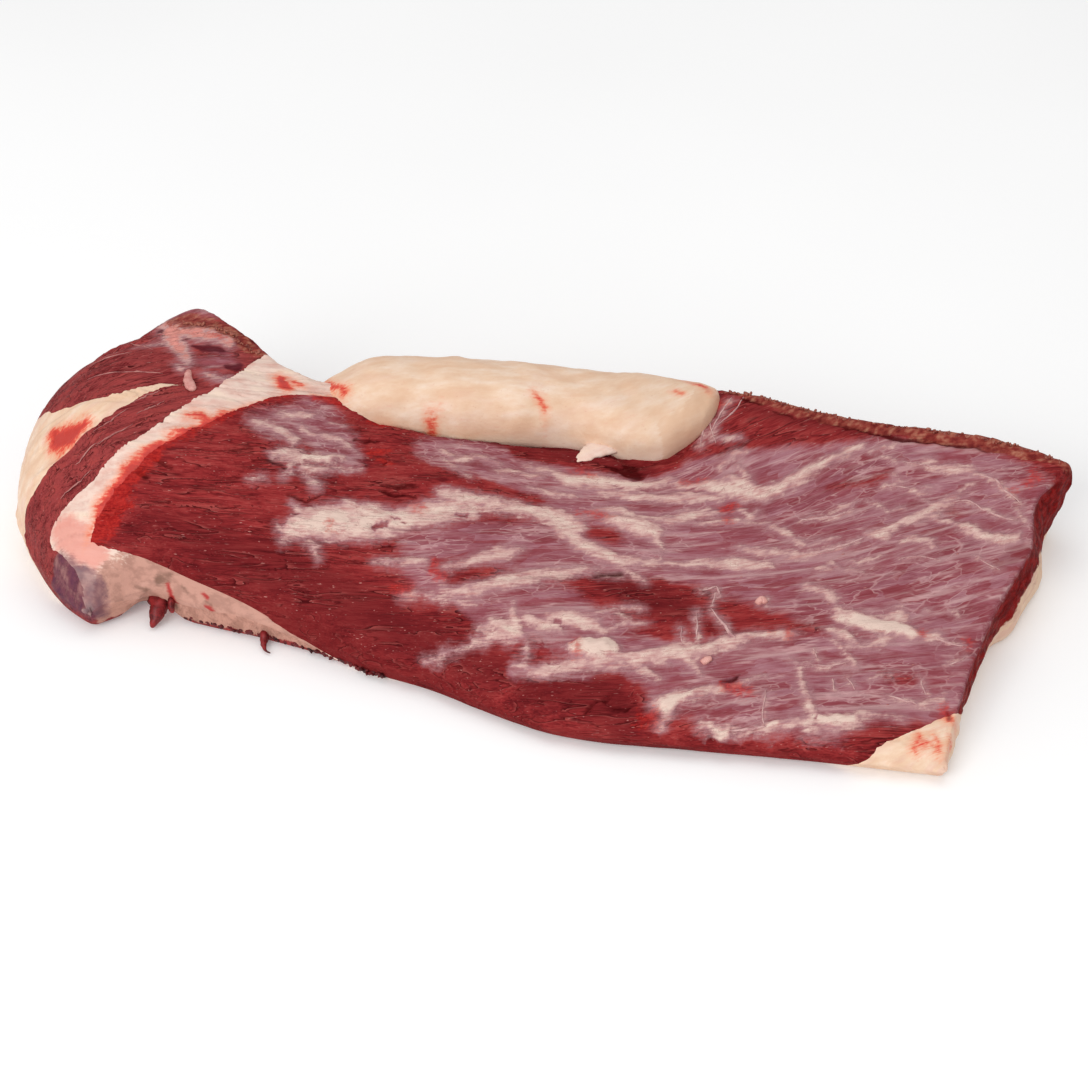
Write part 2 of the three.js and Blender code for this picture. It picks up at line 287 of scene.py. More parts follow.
# Places on the plan and the fibres' slope there, in degrees from the length of the meat.
FLAT_GRAIN = [
    (-200, -80, 0), (-180, -50, 14), (-150, -30, 18), (-150, -72, 7), (-110, 10, 32), (-110, -40, 18),
    (-100, -80, 3), (-60, -92, 0), (-60, -20, 22), (-60, -50, 20), (-40, 15, 12), (-20, -30, 22),
    (0, 0, 10), (0, -60, 27), (0, -100, 5), (40, 10, 12), (40, -50, 22), (40, -110, 12), (70, 60, 55),
    (80, -20, 20), (80, -50, 22), (90, 20, 22), (105, 60, 45), (100, -80, 25), (120, -100, 25),
    (130, 40, 40), (130, -20, 22), (150, 10, 38), (160, -60, 18), (180, 30, 38), (180, -20, 20),
    (190, 72, 5), (205, 0, 38), (200, -60, 10), (215, 30, 32), (120, 92, 42), (220, 80, 20), (-90, 30, 20),
]
POINT_GRAIN = [
    (-190, -10, 42), (-205, -30, 50), (-220, -48, 48), (-235, -68, 50), (-200, 5, 20), (-230, -8, 15),
    (-252, -12, 32), (-225, 30, 50), (-190, 30, 35), (-205, 50, 20), (-262, 10, 60), (-235, 20, 40),
]
SEAM_GRAIN = [
    (-165, 20, 55), (-180, -15, 52), (-198, -45, 50), (-212, -70, 45), (-150, 35, 10), (-130, 36, 5),
    (-205, -88, 10), (-170, -88, 5), (-130, -92, -5),
]
GRAIN_REACH = 30
GRAIN_X = np.arange(-296, 268, 4.0)
GRAIN_Y = np.arange(-140, 136, 4.0)
GRAIN_STEPS = 60


def slope_at(places, x, y):
    """The fibres' slope, averaged from the places near a point."""
    weights, slopes = 0, 0
    for px, py, degrees in places:
        weight = np.exp(-((x - px) ** 2 + (y - py) ** 2) / (2 * GRAIN_REACH**2)) + 1e-9
        weights, slopes = weights + weight, slopes + weight * np.tan(math.radians(degrees))
    return slopes / weights


def grain_across(places, start_x):
    """How far across the fibres a plan point lies, as a function: they are followed back to start_x."""
    x, y = np.meshgrid(GRAIN_X, GRAIN_Y, indexing="ij")
    step = (start_x - x) / GRAIN_STEPS
    for _ in range(GRAIN_STEPS):
        middle = y + step / 2 * slope_at(places, x, y)
        y = y + step * slope_at(places, x + step / 2, middle)
        x = x + step
    return lambda px, py: looked_up(y, GRAIN_X, GRAIN_Y, px, py)


# ---- Strokes on the plan ----
# Each stroke is a line of points (x, y, half-width) in millimetres.

FAT = [
    # upper left of the flat
    [(-149, -9, 2), (-141, -7, 4), (-133, -9, 4), (-127, -11, 3)], [(-126, -10, 2), (-126, -16, 0.8)],
    [(-139, 2, 2.5), (-134, 6, 3.5), (-129, 10, 3), (-124, 16, 1.2)],
    [(-127, 0, 2), (-121, -3, 2), (-115, 0, 2.5)],
    [(-115, 0, 2.5), (-109, 1, 2.2), (-103, 0, 2), (-98, -5, 1)], [(-115, 11, 0.8), (-108, 14, 1)],
    [(-131, -27, 2.5), (-127, -23, 4), (-121, -22, 4.5), (-117, -22, 3)],
    [(-122, -27, 1.5), (-121, -33, 1.3), (-124, -38, 0.6)],
    [(-118, -24, 2), (-110, -17, 3.5), (-102, -13, 2.8)],
    [(-116, -28, 2), (-110, -26, 2), (-102, -21, 1.3), (-92, -16, 0.6)], [(-113, -31, 1), (-107, -36, 2.5)],
    [(-137, -44, 0.5), (-131, -41, 0.7)], [(-115, -50, 0.8), (-108, -53, 2.3), (-103, -53, 3)],
    # the big pale patch and its long band
    [(-112, -64, 4), (-104, -58, 7), (-96, -54, 9), (-86, -49, 10), (-76, -46, 10), (-66, -42, 8),
     (-58, -36, 6.5), (-50, -30, 8), (-42, -24, 7), (-34, -20, 6)],
    [(-48, -17, 4), (-38, -15, 5), (-28, -14, 5.5), (-16, -12, 5), (-4, -11, 5), (6, -10, 6), (16, -14, 6)],
    [(6, -14, 5), (14, -20, 5), (22, -25, 5), (32, -28, 5), (42, -31, 4)], [(-112, -68, 2), (-117, -64, 1)],
    [(-100, -66, 2), (-94, -71, 0.7)], [(-68, -66, 1.2), (-60, -64, 2.3), (-52, -62, 2.8), (-46, -60, 2)],
    # below the band
    [(-36, -63, 1), (-28, -57, 2), (-20, -51, 3), (-12, -45, 4.5), (-8, -42, 4), (-4, -39, 1.5)],
    [(-34, -72, 1.5), (-26, -73, 2.7), (-18, -70, 3.2), (-10, -65, 4), (-4, -60, 4.5), (4, -56, 4.5),
     (12, -52, 4), (20, -48, 3), (28, -42, 2), (34, -38, 1)],
    [(-50, -79, 1), (-44, -77, 1.4), (-38, -76, 1)], [(-38, -78, 1), (-28, -77, 1.8), (-16, -76, 1)],
    [(-10, -88, 1.5), (-4, -86, 4), (4, -86, 5), (10, -88, 3)],
    [(-18, -99, 0.8), (-10, -94, 2.2), (-2, -90, 3), (8, -90, 2)],
    [(-33, -102, 0.5), (-24, -101, 0.9), (-16, -97, 1)],
    [(2, -72, 1.5), (4, -80, 2.5), (8, -85, 2.5), (13, -90, 1.2), (15, -98, 1)],
    [(10, -78, 2.5), (18, -80, 4), (26, -80, 4)],
    [(10, -101, 1.2), (18, -103, 2.5), (26, -102, 2.8), (33, -98, 2.5)],
    [(30, -100, 2.5), (40, -96, 3.5), (50, -93, 3), (60, -91, 3)],
    # middle right
    [(32, -4, 4), (42, -4, 6), (52, -5, 6), (57, -10, 2.2)],
    [(57, -10, 1.4), (60, -18, 0.9), (62, -24, 0.6)],
    [(42, -31, 4), (50, -28, 2.8), (58, -26, 2.3), (66, -24, 1.8)],
    [(66, -24, 2), (78, -20, 2.8), (86, -16, 2.8), (94, -14, 4), (104, -12, 4), (112, -10, 2.5)],
    [(30, -42, 1), (40, -41, 0.9), (46, -39, 1)], [(45, -35, 1.6), (52, -36, 1.6), (57, -39, 0.8)],
    [(20, -75, 2.5), (30, -73, 4.5), (40, -73, 4.5), (46, -76, 2.5)],
    [(34, -69, 1.2), (40, -67, 1.2), (46, -62, 1.3), (54, -58, 1.3), (60, -56, 0.8)],
    [(46, -76, 0.8), (52, -70, 1.3), (57, -66, 1.6)], [(50, -64, 0.8), (57, -66, 1.2), (64, -64, 0.7)],
    [(36, -89, 4), (42, -87, 6), (48, -85, 6.5), (52, -86, 4)],
    [(55, -89, 3), (62, -87, 3.5), (70, -83, 3.8), (76, -80, 4.6), (84, -76, 5.4), (90, -74, 4.6),
     (96, -70, 3.4), (104, -64, 3.8), (112, -58, 3), (120, -55, 3), (128, -52, 3), (132, -50, 1.5)],
    [(62, -88, 2), (70, -91, 2.8), (76, -94, 1.2)], [(84, -76, 2.6), (92, -82, 1.8), (96, -86, 0.8)],
    [(91, -46, 0.8), (98, -53, 1), (104, -60, 1.3), (107, -64, 1)],
    [(85, -50, 0.6), (87, -58, 0.7), (89, -68, 0.9)], [(80, -62, 0.6), (83, -72, 0.8)],
    [(90, -31, 0.9), (93, -36, 1.1)], [(84, -36, 0.8), (90, -31, 1)], [(91, -36, 0.9), (91, -44, 0.6)],
    [(112, -36, 1.2), (114, -33, 1.8), (116, -37, 0.8)],
    [(80, -107, 4), (84, -108, 4.6), (86, -104, 4), (90, -100, 3.6), (98, -96, 3.2), (106, -92, 2.2)],
    [(112, -88, 1.3), (118, -84, 1), (124, -79, 0.8)], [(84, -113, 1.8), (83, -117, 1.2)],
    [(100, -112, 1.3), (106, -113, 1.8), (114, -112, 1.3)],
    [(114, -112, 1), (122, -110, 1.3), (130, -107, 2), (136, -104, 2), (146, -100, 2.5), (152, -97, 3)],
    [(126, -88, 0.5), (127, -100, 0.6), (129, -107, 0.9)],
    [(133, -67, 1.3), (138, -70, 1.6), (140, -76, 1.6), (141, -82, 1.9), (145, -86, 2), (147, -92, 2.3),
     (150, -97, 3.3), (156, -100, 2.3)],
    [(140, -68, 0.9), (148, -66, 0.9), (156, -63, 0.7), (160, -60, 0.7)],
    # whitish region below the hard fat
    [(-16, 24, 2.6), (-6, 24, 3), (4, 20, 5.5), (14, 22, 6), (24, 24, 6)],
    [(20, 26, 4), (28, 26, 5), (36, 28, 5), (44, 31, 4), (50, 35, 3)],
    [(50, 38, 2.5), (60, 35, 2.6), (70, 37, 4.6), (80, 38, 7), (90, 37, 6), (100, 39, 4)],
    [(60, 28, 3), (70, 27, 4), (78, 30, 3)],
    [(80, 46, 3.6), (86, 44, 4.6), (96, 40, 4.6), (104, 44, 4), (110, 50, 4), (114, 56, 3.8),
     (118, 62, 3.6), (122, 68, 3.6), (128, 74, 3.8), (134, 80, 3.3), (139, 87, 2)],
    [(74, 52, 1.6), (76, 60, 2.2), (80, 66, 2.6), (84, 66, 1.2)], [(82, 56, 1.6), (88, 50, 1.8)],
    [(66, 73, 1.6), (72, 75, 2.6), (78, 77, 1.2)],
    [(60, 102, 0.8), (58, 92, 1), (60, 78, 1.3), (61, 66, 1.2)],
    [(69, 102, 0.6), (66, 90, 0.7), (64, 76, 0.7)],
    [(22, 16, 3), (32, 18, 4), (44, 20, 4), (56, 22, 4), (66, 24, 3.5)],
    [(24, 2, 2), (34, 5, 2.6), (44, 2, 2), (56, 4, 3), (64, 10, 4), (70, 14, 3.5), (78, 18, 2.6)],
    [(-58, 12, 1), (-50, 6, 1.6), (-40, 1, 0.8)],
    [(-60, 20, 2), (-52, 14, 2), (-44, 22, 2.2), (-30, 20, 2)], [(-30, 14, 1.6), (-20, 16, 2), (-8, 16, 2)],
    [(-12, 6, 1.6), (0, 6, 2.4), (10, 8, 1.8)],
    [(72, 8, 0.8), (80, 12, 1.2), (90, 16, 1.2), (98, 18, 0.8), (106, 20, 0.8)],
    [(108, 18, 2), (114, 16, 3.2), (120, 11, 2.8), (128, 8, 1.8)],
    [(128, 10, 1.2), (134, 14, 1.2), (140, 18, 0.8)],
    [(96, -3, 1.8), (104, -2, 2.6), (112, -1, 2.6), (120, 0, 2.6), (128, 3, 1.8), (136, 8, 1.3),
     (146, 14, 0.8)],
    [(90, 24, 1.6), (97, 23, 2.2), (99, 28, 1.2)],
    [(120, 26, 1.3), (128, 30, 1.3), (136, 34, 0.9), (144, 42, 0.8)],
    [(134, 36, 1), (138, 42, 1.6), (144, 47, 0.8)], [(146, 83, 1.6), (152, 87, 1.6), (157, 91, 1)],
    # right end
    [(162, 78, 0.7), (170, 79, 1), (178, 79, 2.8), (186, 79, 3.8), (194, 80, 3.2), (200, 78, 1.8),
     (208, 76, 1.3), (213, 70, 2.2), (218, 66, 2.2), (222, 62, 1.2)],
    [(172, 84, 1.2), (176, 83, 1.6)], [(150, 80, 0.7), (160, 77, 0.8)],
    [(154, 24, 2.8), (160, 26, 3.8), (162, 30, 2.3), (168, 37, 2.3), (174, 43, 3.3), (180, 47, 3.8),
     (183, 53, 3.2), (188, 58, 2.2), (192, 63, 1.6), (198, 72, 0.7)],
    [(180, 46, 2.8), (188, 44, 2.3), (196, 41, 2.6), (202, 38, 4), (210, 36, 3.6), (218, 36, 3.6),
     (223, 38, 2.6), (225, 42, 1.2)],
    [(170, 21, 1), (174, 26, 3), (180, 27, 2.6), (184, 25, 2.6), (186, 22, 1)],
    [(190, 58, 0.7), (198, 60, 0.8), (206, 55, 1), (214, 51, 1), (222, 50, 1)],
    [(155, 60, 1.2), (162, 62, 1), (168, 61, 1), (174, 61, 1.5), (178, 65, 1)],
    [(158, 68, 0.8), (164, 64, 0.8)], [(172, 60, 0.8), (178, 56, 0.8)], [(163, 46, 1.2), (168, 48, 0.8)],
    [(150, 48, 0.8), (156, 47, 0.8), (160, 42, 0.8)],
    [(130, 3, 1.2), (138, 9, 1.6), (146, 15, 1.2), (152, 21, 0.8), (158, 22, 0.8)],
    [(148, 4, 1.6), (152, 3, 2.6), (156, 8, 1.6), (162, 11, 1)],
    [(205, 22, 0.5), (212, 19, 0.5), (219, 15, 0.5)], [(171, 11, 0.5), (180, 14, 0.6), (190, 15, 0.5)],
    [(222, 58, 1.2), (226, 50, 0.8)], [(140, 0, 2), (148, -2, 1.8), (156, -3, 1)],
    [(148, -30, 2.5), (152, -34, 4), (158, -34, 6), (166, -35, 6.5), (174, -35, 6), (182, -36, 4.6),
     (188, -37, 3.4), (194, -36, 3), (197, -33, 2)],
    [(172, -27, 3.6), (176, -22, 3.4), (178, -28, 4)],
    [(174, -43, 3), (170, -47, 2.8), (166, -50, 1.8), (158, -52, 1.6)],
    [(196, -36, 2), (203, -38, 1.6), (209, -38, 1.2)], [(203, -52, 0.9), (208, -48, 1), (211, -44, 0.8)],
    [(148, -44, 2), (156, -47, 3), (162, -50, 1.6)],
    [(150, -50, 1.2), (156, -54, 1.2), (160, -60, 1.6), (162, -64, 1.2)], [(142, -58, 0.8), (145, -63, 1)],
    [(170, -68, 0.7), (174, -66, 0.7), (180, -63, 0.7)], [(180, -75, 0.8), (188, -76, 0.8), (194, -78, 1)],
    [(190, -78, 1.2), (198, -76, 1.8), (204, -73, 1.8), (206, -68, 0.8)],
    [(193, -62, 0.6), (195, -68, 0.6), (197, -71, 0.6)],
    [(158, -97, 3.6), (164, -95, 4), (170, -90, 3.2), (176, -87, 1.8)],
    [(148, -104, 1.3), (156, -102, 1.8), (164, -99, 1.8), (170, -95, 1.2)],
    [(180, -87, 0.6), (188, -86, 0.6)], [(188, -17, 1), (190, -18, 1.2)],
    [(201, -17, 0.8), (206, -20, 0.7)], [(132, -19, 2.5), (140, -20, 2.3), (146, -25, 2.6)],
    [(134, -5, 2.4), (140, -3, 1.6)], [(154, -72, 0.6), (156, -80, 0.6)],
    [(160, -70, 0.6), (165, -76, 0.6)],
]
HOLES_IN_FAT = [
    [(-74, -48, 2.2), (-69, -44, 1.8)], [(-66, -41, 0.8), (-60, -40, 0.7)],
    [(-40, -26, 0.9), (-35, -25, 1.1)], [(24, -77, 1.6), (28, -79, 1.2)],
    [(22, -88, 2), (28, -91, 3), (32, -93, 2)], [(150, -97, 1)],
    [(156, -43, 0.9), (162, -45, 1.2), (166, -44, 1.5)], [(28, 24, 0.8), (33, 23, 0.6)],
    [(42, 25, 0.8), (47, 27, 0.7)], [(60, 33, 1.4), (65, 34, 1)], [(117, 51, 1), (119, 52, 1)],
    [(78, -83, 0.7), (83, -82, 0.6)],
]
# Silver skin lies over the lean where these broad strokes run, and the lean is bare where the next run.
SKIN = [
    [(-60, 18, 14), (-40, 20, 16), (-20, 16, 18), (10, 14, 22), (40, 10, 26), (80, 30, 34), (120, 40, 40),
     (160, 50, 46), (200, 50, 46)],
    [(-50, -52, 10), (-30, -42, 14), (0, -36, 18), (40, -20, 22), (80, -10, 24), (120, -10, 30),
     (160, -10, 36), (200, -10, 36)],
    [(-50, -64, 7), (-30, -76, 8), (-10, -74, 13), (20, -72, 18), (50, -84, 16), (90, -90, 20),
     (120, -80, 24), (160, -70, 28), (195, -60, 26)],
    [(-140, -6, 12), (-125, 6, 14), (-110, -2, 13), (-102, -10, 10)], [(-130, 20, 6), (-118, 18, 6)],
    [(10, -104, 4), (30, -106, 4), (50, -100, 3)], [(100, -104, 8), (130, -98, 10), (160, -100, 6)],
]
BARE = [
    [(40, -46, 8), (56, -48, 12), (74, -50, 13), (88, -44, 6)], [(66, -62, 8), (74, -64, 6)],
    [(56, -102, 7), (66, -106, 9), (60, -114, 10)], [(20, -113, 6), (40, -112, 7)],
    [(90, 94, 8), (110, 92, 8), (130, 96, 5)],
    [(-20, 40, 12), (0, 42, 12), (20, 40, 9), (36, 40, 8), (48, 52, 6)],
    [(-30, -90, 12), (-14, -102, 10), (0, -110, 8)], [(-45, -86, 9), (-30, -84, 6)],
    [(-40, -4, 5), (-20, -2, 4), (-6, -2, 4)], [(-30, -66, 4), (-18, -60, 3)],
    [(130, 52, 2), (150, 62, 3), (156, 70, 2)], [(188, 52, 1), (194, 51, 1)], [(26, -15, 5), (36, -15, 6)],
    [(178, -64, 4), (188, -64, 3)],
]
BLOOD = [
    [(-178, -20, 1.5), (-172, -17, 2.6), (-166, -19, 2)], [(-182, -34, 1.5), (-176, -30, 1.5)],
    [(-147, 29, 4.2), (-144, 25, 4)], [(-141, 31, 1.6), (-137, 31, 1)],
    [(-128, 25, 1.8), (-122, 28, 2.6), (-116, 28, 2)], [(-99, 26, 1.3), (-93, 28, 3), (-87, 30, 1.8)],
    [(-93.5, -55.5, 1.5)], [(-58, -30, 1.6), (-53, -29, 1)],
    [(-41, -58, 0.6), (-40, -64, 1.8), (-37, -67, 2.6)], [(-53, -77, 1.8), (-48, -76, 2)],
    [(3, 27, 0.8), (8, 29, 2.3), (14, 27, 1.8)], [(58, 38, 1.3), (64, 39, 1.8), (68, 42, 1.3)],
    [(81, 22, 1.2), (85, 25, 2.2), (88, 28, 1)], [(86, 15, 1.6)], [(35.5, -85, 1), (37, -92, 1)],
    [(129, -49, 2), (130, -52, 1.8)], [(106, -90, 2.3), (112, -90, 3.3), (118, -91, 2.6)],
    [(74, -114, 2), (79, -113, 3)], [(190, -34, 1.6), (190, -37, 0.8)], [(211, -35, 1.4), (211, -38, 1)],
    [(223, 76, 2.3), (227, 79, 2.8), (226, 84, 1.3)], [(218, 70, 0.9)],
    [(16, -3, 0.8), (24, -2, 2.2), (31, -3, 1.3)], [(-91, -1, 2.4), (-85, 4, 2.4)],
    [(-84, -5, 1.6), (-80, -5, 1.4)], [(121, -52, 1)], [(62, 96, 2.5), (66, 98, 2)],
    # on the fold of fat at the point end
    [(-244, -35, 3.4), (-238, -39, 6.4), (-232, -40, 6), (-226, -36, 3)], [(-236, -46, 2)],
    [(206, -76, 1.5), (209, -82, 2)], [(214, -92, 1.5), (215, -100, 1.5)],
    # corner fat
    [(197, -93, 0.4), (198, -98, 0.8), (204, -97, 0.5), (208, -99, 1.2), (203, -92, 0.2)],
    [(197, -101, 1.2), (203, -97, 0.5)],
]
# How wide the blood runs along the border of the flat, by place across the meat, on each side of it.
BORDER_ON_FLAT = [
    (-100, 0), (-88, 4), (-80, 9), (-72, 11), (-64, 8), (-56, 6), (-44, 5), (-30, 3.6), (-12, 2), (10, 1),
    (28, 0.6), (60, -4),
]
BORDER_ON_SEAM = [
    (-100, -4), (-90, -3), (-84, -1), (-76, 3), (-68, 4), (-58, 5), (-48, 5), (-38, 4.5), (-28, 4),
    (-20, 5), (-12, 2.5), (0, -1), (20, -2), (60, -6),
]
# Dark gaps: painted shade in crevices, in the trench under the hard fat and in the crease along the far rim,
# partly dark clots.
DARK_GAPS_AND_SHADE = [
    [(-78, -23, 0.8), (-70, -20, 1.4), (-62, -17, 1)], [(-76, -27, 0.8), (-68, -25, 1.2), (-62, -24, 0.6)],
    [(-118, -46, 0.6), (-108, -46, 1), (-103, -40, 0.6)],
    [(-140, -33, 0.6), (-130, -31, 1), (-124, -31, 0.8)], [(-152, -32, 0.6), (-142, -27, 0.6)],
    [(33, -43, 0.9), (40, -40, 1.2), (46, -38, 1)], [(49, -118, 0.7), (52, -112, 0.7), (58, -108, 0.5)],
    [(60, -114, 0.7), (70, -109, 0.7)], [(105, -88, 1.2), (111, -83, 1.3)],
    [(116, 100, 0.8), (130, 99, 1.4), (146, 97, 1.6), (158, 95, 1.6), (170, 97, 1.6), (180, 96.5, 1.8),
     (190, 96, 1.5), (200, 96, 0.8), (212, 96, 0.2)],
    [(92, 101, 0.8), (104, 99, 0.8)], [(208, -79, 0.6), (209, -82, 0.5)], [(-100, 5, 0.8), (-90, 10, 0.8)],
    [(-184, -50, 1), (-176, -50, 0.8)], [(-190, -57, 1.2), (-184, -59, 1.6)],
    [(75, 104, 1.5), (86, 104, 1.5)],
    [(-66, 33, 2), (-54, 38, 2.4), (-40, 42, 3), (-24, 47, 3), (-8, 51, 3), (4, 53, 2)],
    [(20, 50, 2), (30, 48, 2.6), (42, 52, 2), (52, 62, 1.5)], [(56, 74, 0.8), (58, 84, 0.8), (55, 92, 0.8)],
    [(63, 88, 1), (62, 96, 0.8)], [(24, 38, 3), (36, 36, 3), (30, 43, 4)],
]
# Dried, browned lean along the far rim and on the knuckle.
CRUST = [
    [(66, 109, 3), (78, 110, 5.5), (92, 109, 6), (110, 106, 6.5), (130, 106, 7), (150, 105, 7.5),
     (170, 105, 7.5), (186, 104.5, 8), (200, 104, 8), (216, 103, 8), (232, 99, 7.5), (243, 94, 6)],
    [(-213, 50, 3), (-205, 52, 4.6), (-196, 53, 4.6), (-188, 52, 4), (-180, 49, 4), (-175, 47, 4.6),
     (-169, 44, 4), (-162, 42, 3.4)],
]
# Painted shade in the dents and under the arch of the near wall's cut fat, then red marks on it, as (x, z,
# half-width).
WALL_DENT_SHADE = [
    [(-178, 26, 1), (-173, 23, 3), (-168, 24, 1.5)], [(-184, 20, 1), (-178, 18, 2)],
    [(-172, 28, 1), (-166, 28, 1.5)], [(-160, 24, 1.5), (-157, 20, 1)], [(-148, 18, 1), (-144, 16, 1)],
]
WALL_RED = [
    [(-168, 22, 0.8), (-167, 18, 1.2), (-166, 12, 1.8), (-163, 9, 1.4)], [(-150, 22, 1), (-147, 20, 1.2)],
    [(-148, 15, 1), (-144, 14, 1.2)], [(-128, 8, 1), (-124, 6, 1)],
]
# Rosy fat at the near end of the seam.
SEAM_ROSY = [[(-226, -78, 5), (-219, -82, 9), (-211, -86, 10), (-203, -89, 8), (-197, -88, 5)]]
# Purple skin over the knob at the near corner of the point.
KNOB = [[(-222, -92, 4), (-212, -98, 6), (-204, -101, 7), (-199, -100, 5)]]
# Warmer, tan fat along the hard fat's upper edge and its end.
LUMP_TAN = [
    [(-122, 66, 4), (-90, 80, 5), (-60, 90, 5), (-20, 100, 5), (20, 106, 5), (48, 106, 6)],
    [(46, 62, 6), (58, 76, 8), (58, 92, 7)],
]
LUMP_RED = [
    [(-23, 58, 0.8), (-20, 56, 1.2), (-17, 54, 0.8)], [(-71, 34, 1.4), (-69, 35, 1.2)],
    [(43, 88, 1), (46, 86, 0.8)], [(-130, 44, 1.4), (-124, 38, 2), (-116, 34, 2)],
    [(44, 104, 1.2), (52, 101, 2.2), (59, 96, 2)],
]
# Trenches pressed into the lean beside the hard fat, and thick fat that stands proud: (x, y, half-width).
TRENCH = [
    [(-100, 30, 2), (-66, 35, 3), (-40, 43, 4), (-8, 51, 5), (6, 53, 4), (20, 50, 4), (34, 50, 5),
     (48, 58, 5), (54, 70, 4), (58, 84, 3)],
    [(58, -110, 1.5), (66, -104, 1.5)],
]
TRENCH_DEPTH = 3.2
PROUD = [
    [(36, -89, 5), (42, -87, 7), (50, -85, 7)], [(-115, -23, 4), (-104, -16, 3)],
    [(-110, -60, 5), (-92, -52, 6), (-70, -44, 5)],
    [(55, -89, 2.5), (76, -80, 4), (90, -74, 4), (112, -58, 2)],
    [(158, -34, 4), (174, -35, 5), (184, -36, 3)], [(84, -106, 4), (96, -97, 3)],
    [(98, 42, 3), (116, 58, 3), (130, 76, 3)], [(36, -4, 4), (50, -5, 4)], [(0, -86, 4)],
    [(158, -97, 3), (168, -92, 2)], [(200, 38, 2), (216, 36, 2.5)], [(170, 38, 1.5), (182, 48, 3)],
]
PROUD_HEIGHT = 1.3
NODULE = [[(38, -88, 4), (44, -87, 5), (49, -85, 4)]]
NODULE_HEIGHT = 1.8
# Thick fat that covers the lean completely.
SOLID = [
    [(36, -89, 3), (42, -87, 5), (50, -85, 5)],
    [(158, -35, 4), (166, -36, 5), (176, -35, 4.5), (186, -37, 2.5)],
    [(84, -108, 3), (86, -103, 3), (92, -99, 2)], [(104, -112, 1), (112, -112, 1.5)],
    [(128, -107, 1), (134, -105, 1.5)], [(150, -97, 2), (158, -97, 3), (166, -94, 2.4)],
    [(-108, -60, 2), (-98, -55, 4), (-88, -50, 4)], [(-118, -22, 2), (-108, -17, 2.4)],
    [(-2, -86, 1), (4, -86, 2)], [(26, 26, 2), (40, 30, 2)],
]
# The point: pink sinew, purple skin and pale cap on the knuckle, light lines along the band.
POINT_SINEW = [
    [(-216, 50, 4), (-213, 44, 6), (-208, 36, 6.5), (-202, 29, 5.2), (-197, 24, 3.6), (-193, 18, 2.4),
     (-191, 14, 1.8)],
    [(-214, 45, 6), (-204, 43, 7), (-196, 43, 7), (-188, 44, 5.6), (-180, 43, 3.6)],
    [(-196, 14, 2), (-192, 10, 1.6)], [(-222, 24, 0.6), (-209, 29, 1.6)],
    [(-181, 13, 1.6), (-176, 12, 2.2), (-171, 12, 1.6)],
]
POINT_SKIN = [
    [(-213, 59, 4), (-206, 60, 5), (-196, 60, 4)], [(-185, 21, 4), (-178, 26, 5.5), (-173, 29, 4)],
    [(-186, 33, 2), (-178, 34, 3)], [(-178, 14, 3), (-170, 14, 3)],
]
POINT_DARK = [
    [(-195, 32, 1.6), (-189, 33, 3), (-182, 35, 2.4)], [(-174, 24, 1.6), (-170, 24, 2.6), (-169, 29, 2)],
    [(-218, 44, 1.8)], [(-184, -4, 0.7)],
]
POINT_RED = [[(-191, 45, 1), (-184, 44, 1.4)], [(-215, 38, 1)]]


# Where the lean is painted darker: painted shade on the near slope, in the dip by the near edge, in the trench
# under the hard fat and along the far rim, and the darker bare lean in the windows in the skin.
DARK_LEAN_AND_SHADE = [
    [(-185, -78, 5), (-150, -78, 9), (-110, -80, 11), (-70, -88, 12), (-30, -96, 11), (0, -106, 9)],
    [(20, -112, 9), (45, -108, 12), (62, -112, 12), (72, -118, 6)],
    [(44, -46, 9), (60, -48, 11), (76, -50, 10)], [(-66, 33, 6), (-40, 40, 9), (0, 46, 10), (36, 42, 9)],
    [(80, 98, 5), (110, 98, 5), (150, 96, 4)],
]


BRUSH_REACH = 6.0
WANDER = 1.1
WANDER_SPAN = 5


def brush(strokes, x, y):
    """How deep inside the nearest stroke each plan point lies, in millimetres; negative outside."""
    best = np.full(x.shape, -BRUSH_REACH)
    for stroke in strokes:
        points = stroke if len(stroke) > 1 else stroke * 2
        for (x0, y0, w0), (x1, y1, w1) in zip(points, points[1:]):
            margin = max(w0, w1) + BRUSH_REACH
            near = ((x > min(x0, x1) - margin) & (x < max(x0, x1) + margin)
                    & (y > min(y0, y1) - margin) & (y < max(y0, y1) + margin))
            if not near.any():
                continue
            px, py = x[near] - x0, y[near] - y0
            dx, dy = x1 - x0, y1 - y0
            k = np.clip((px * dx + py * dy) / (dx * dx + dy * dy + 1e-9), 0, 1)
            inside = w0 + k * (w1 - w0) - np.hypot(px - k * dx, py - k * dy)
            best[near] = np.maximum(best[near], inside)
    return best


def wandered(x, y):
    """Plan points moved a little each way, so that no stroke has a straight edge."""
    place = np.stack([x, y], -1) / WANDER_SPAN
    return x + WANDER * noise(place, 3, 2), y + WANDER * noise(place, 4, 2)


def along_line(xs, y):
    """The x of a line across the meat, from its values at even steps of y."""
    return through(xs, (y - LINE_FIRST_Y) / (LINE_LAST_Y - LINE_FIRST_Y))


# ---- Relief of the lean side ----

flat_across = grain_across(FLAT_GRAIN, 0)
point_across = grain_across(POINT_GRAIN, -200)
seam_across = grain_across(SEAM_GRAIN, -180)


FAT_HEIGHT = 0.45
HOLE_DEPTH = 0.6
GAP_DEPTH = 1.0
BLOOD_HEIGHT = 0.25
BUNDLE_HEIGHT = 1.1
STREAK_HEIGHT = 0.25
SLIT_DEPTH = 0.8
LEDGE_HEIGHT = 0.7
LEDGES = 4.5
RIM_CALM = 5


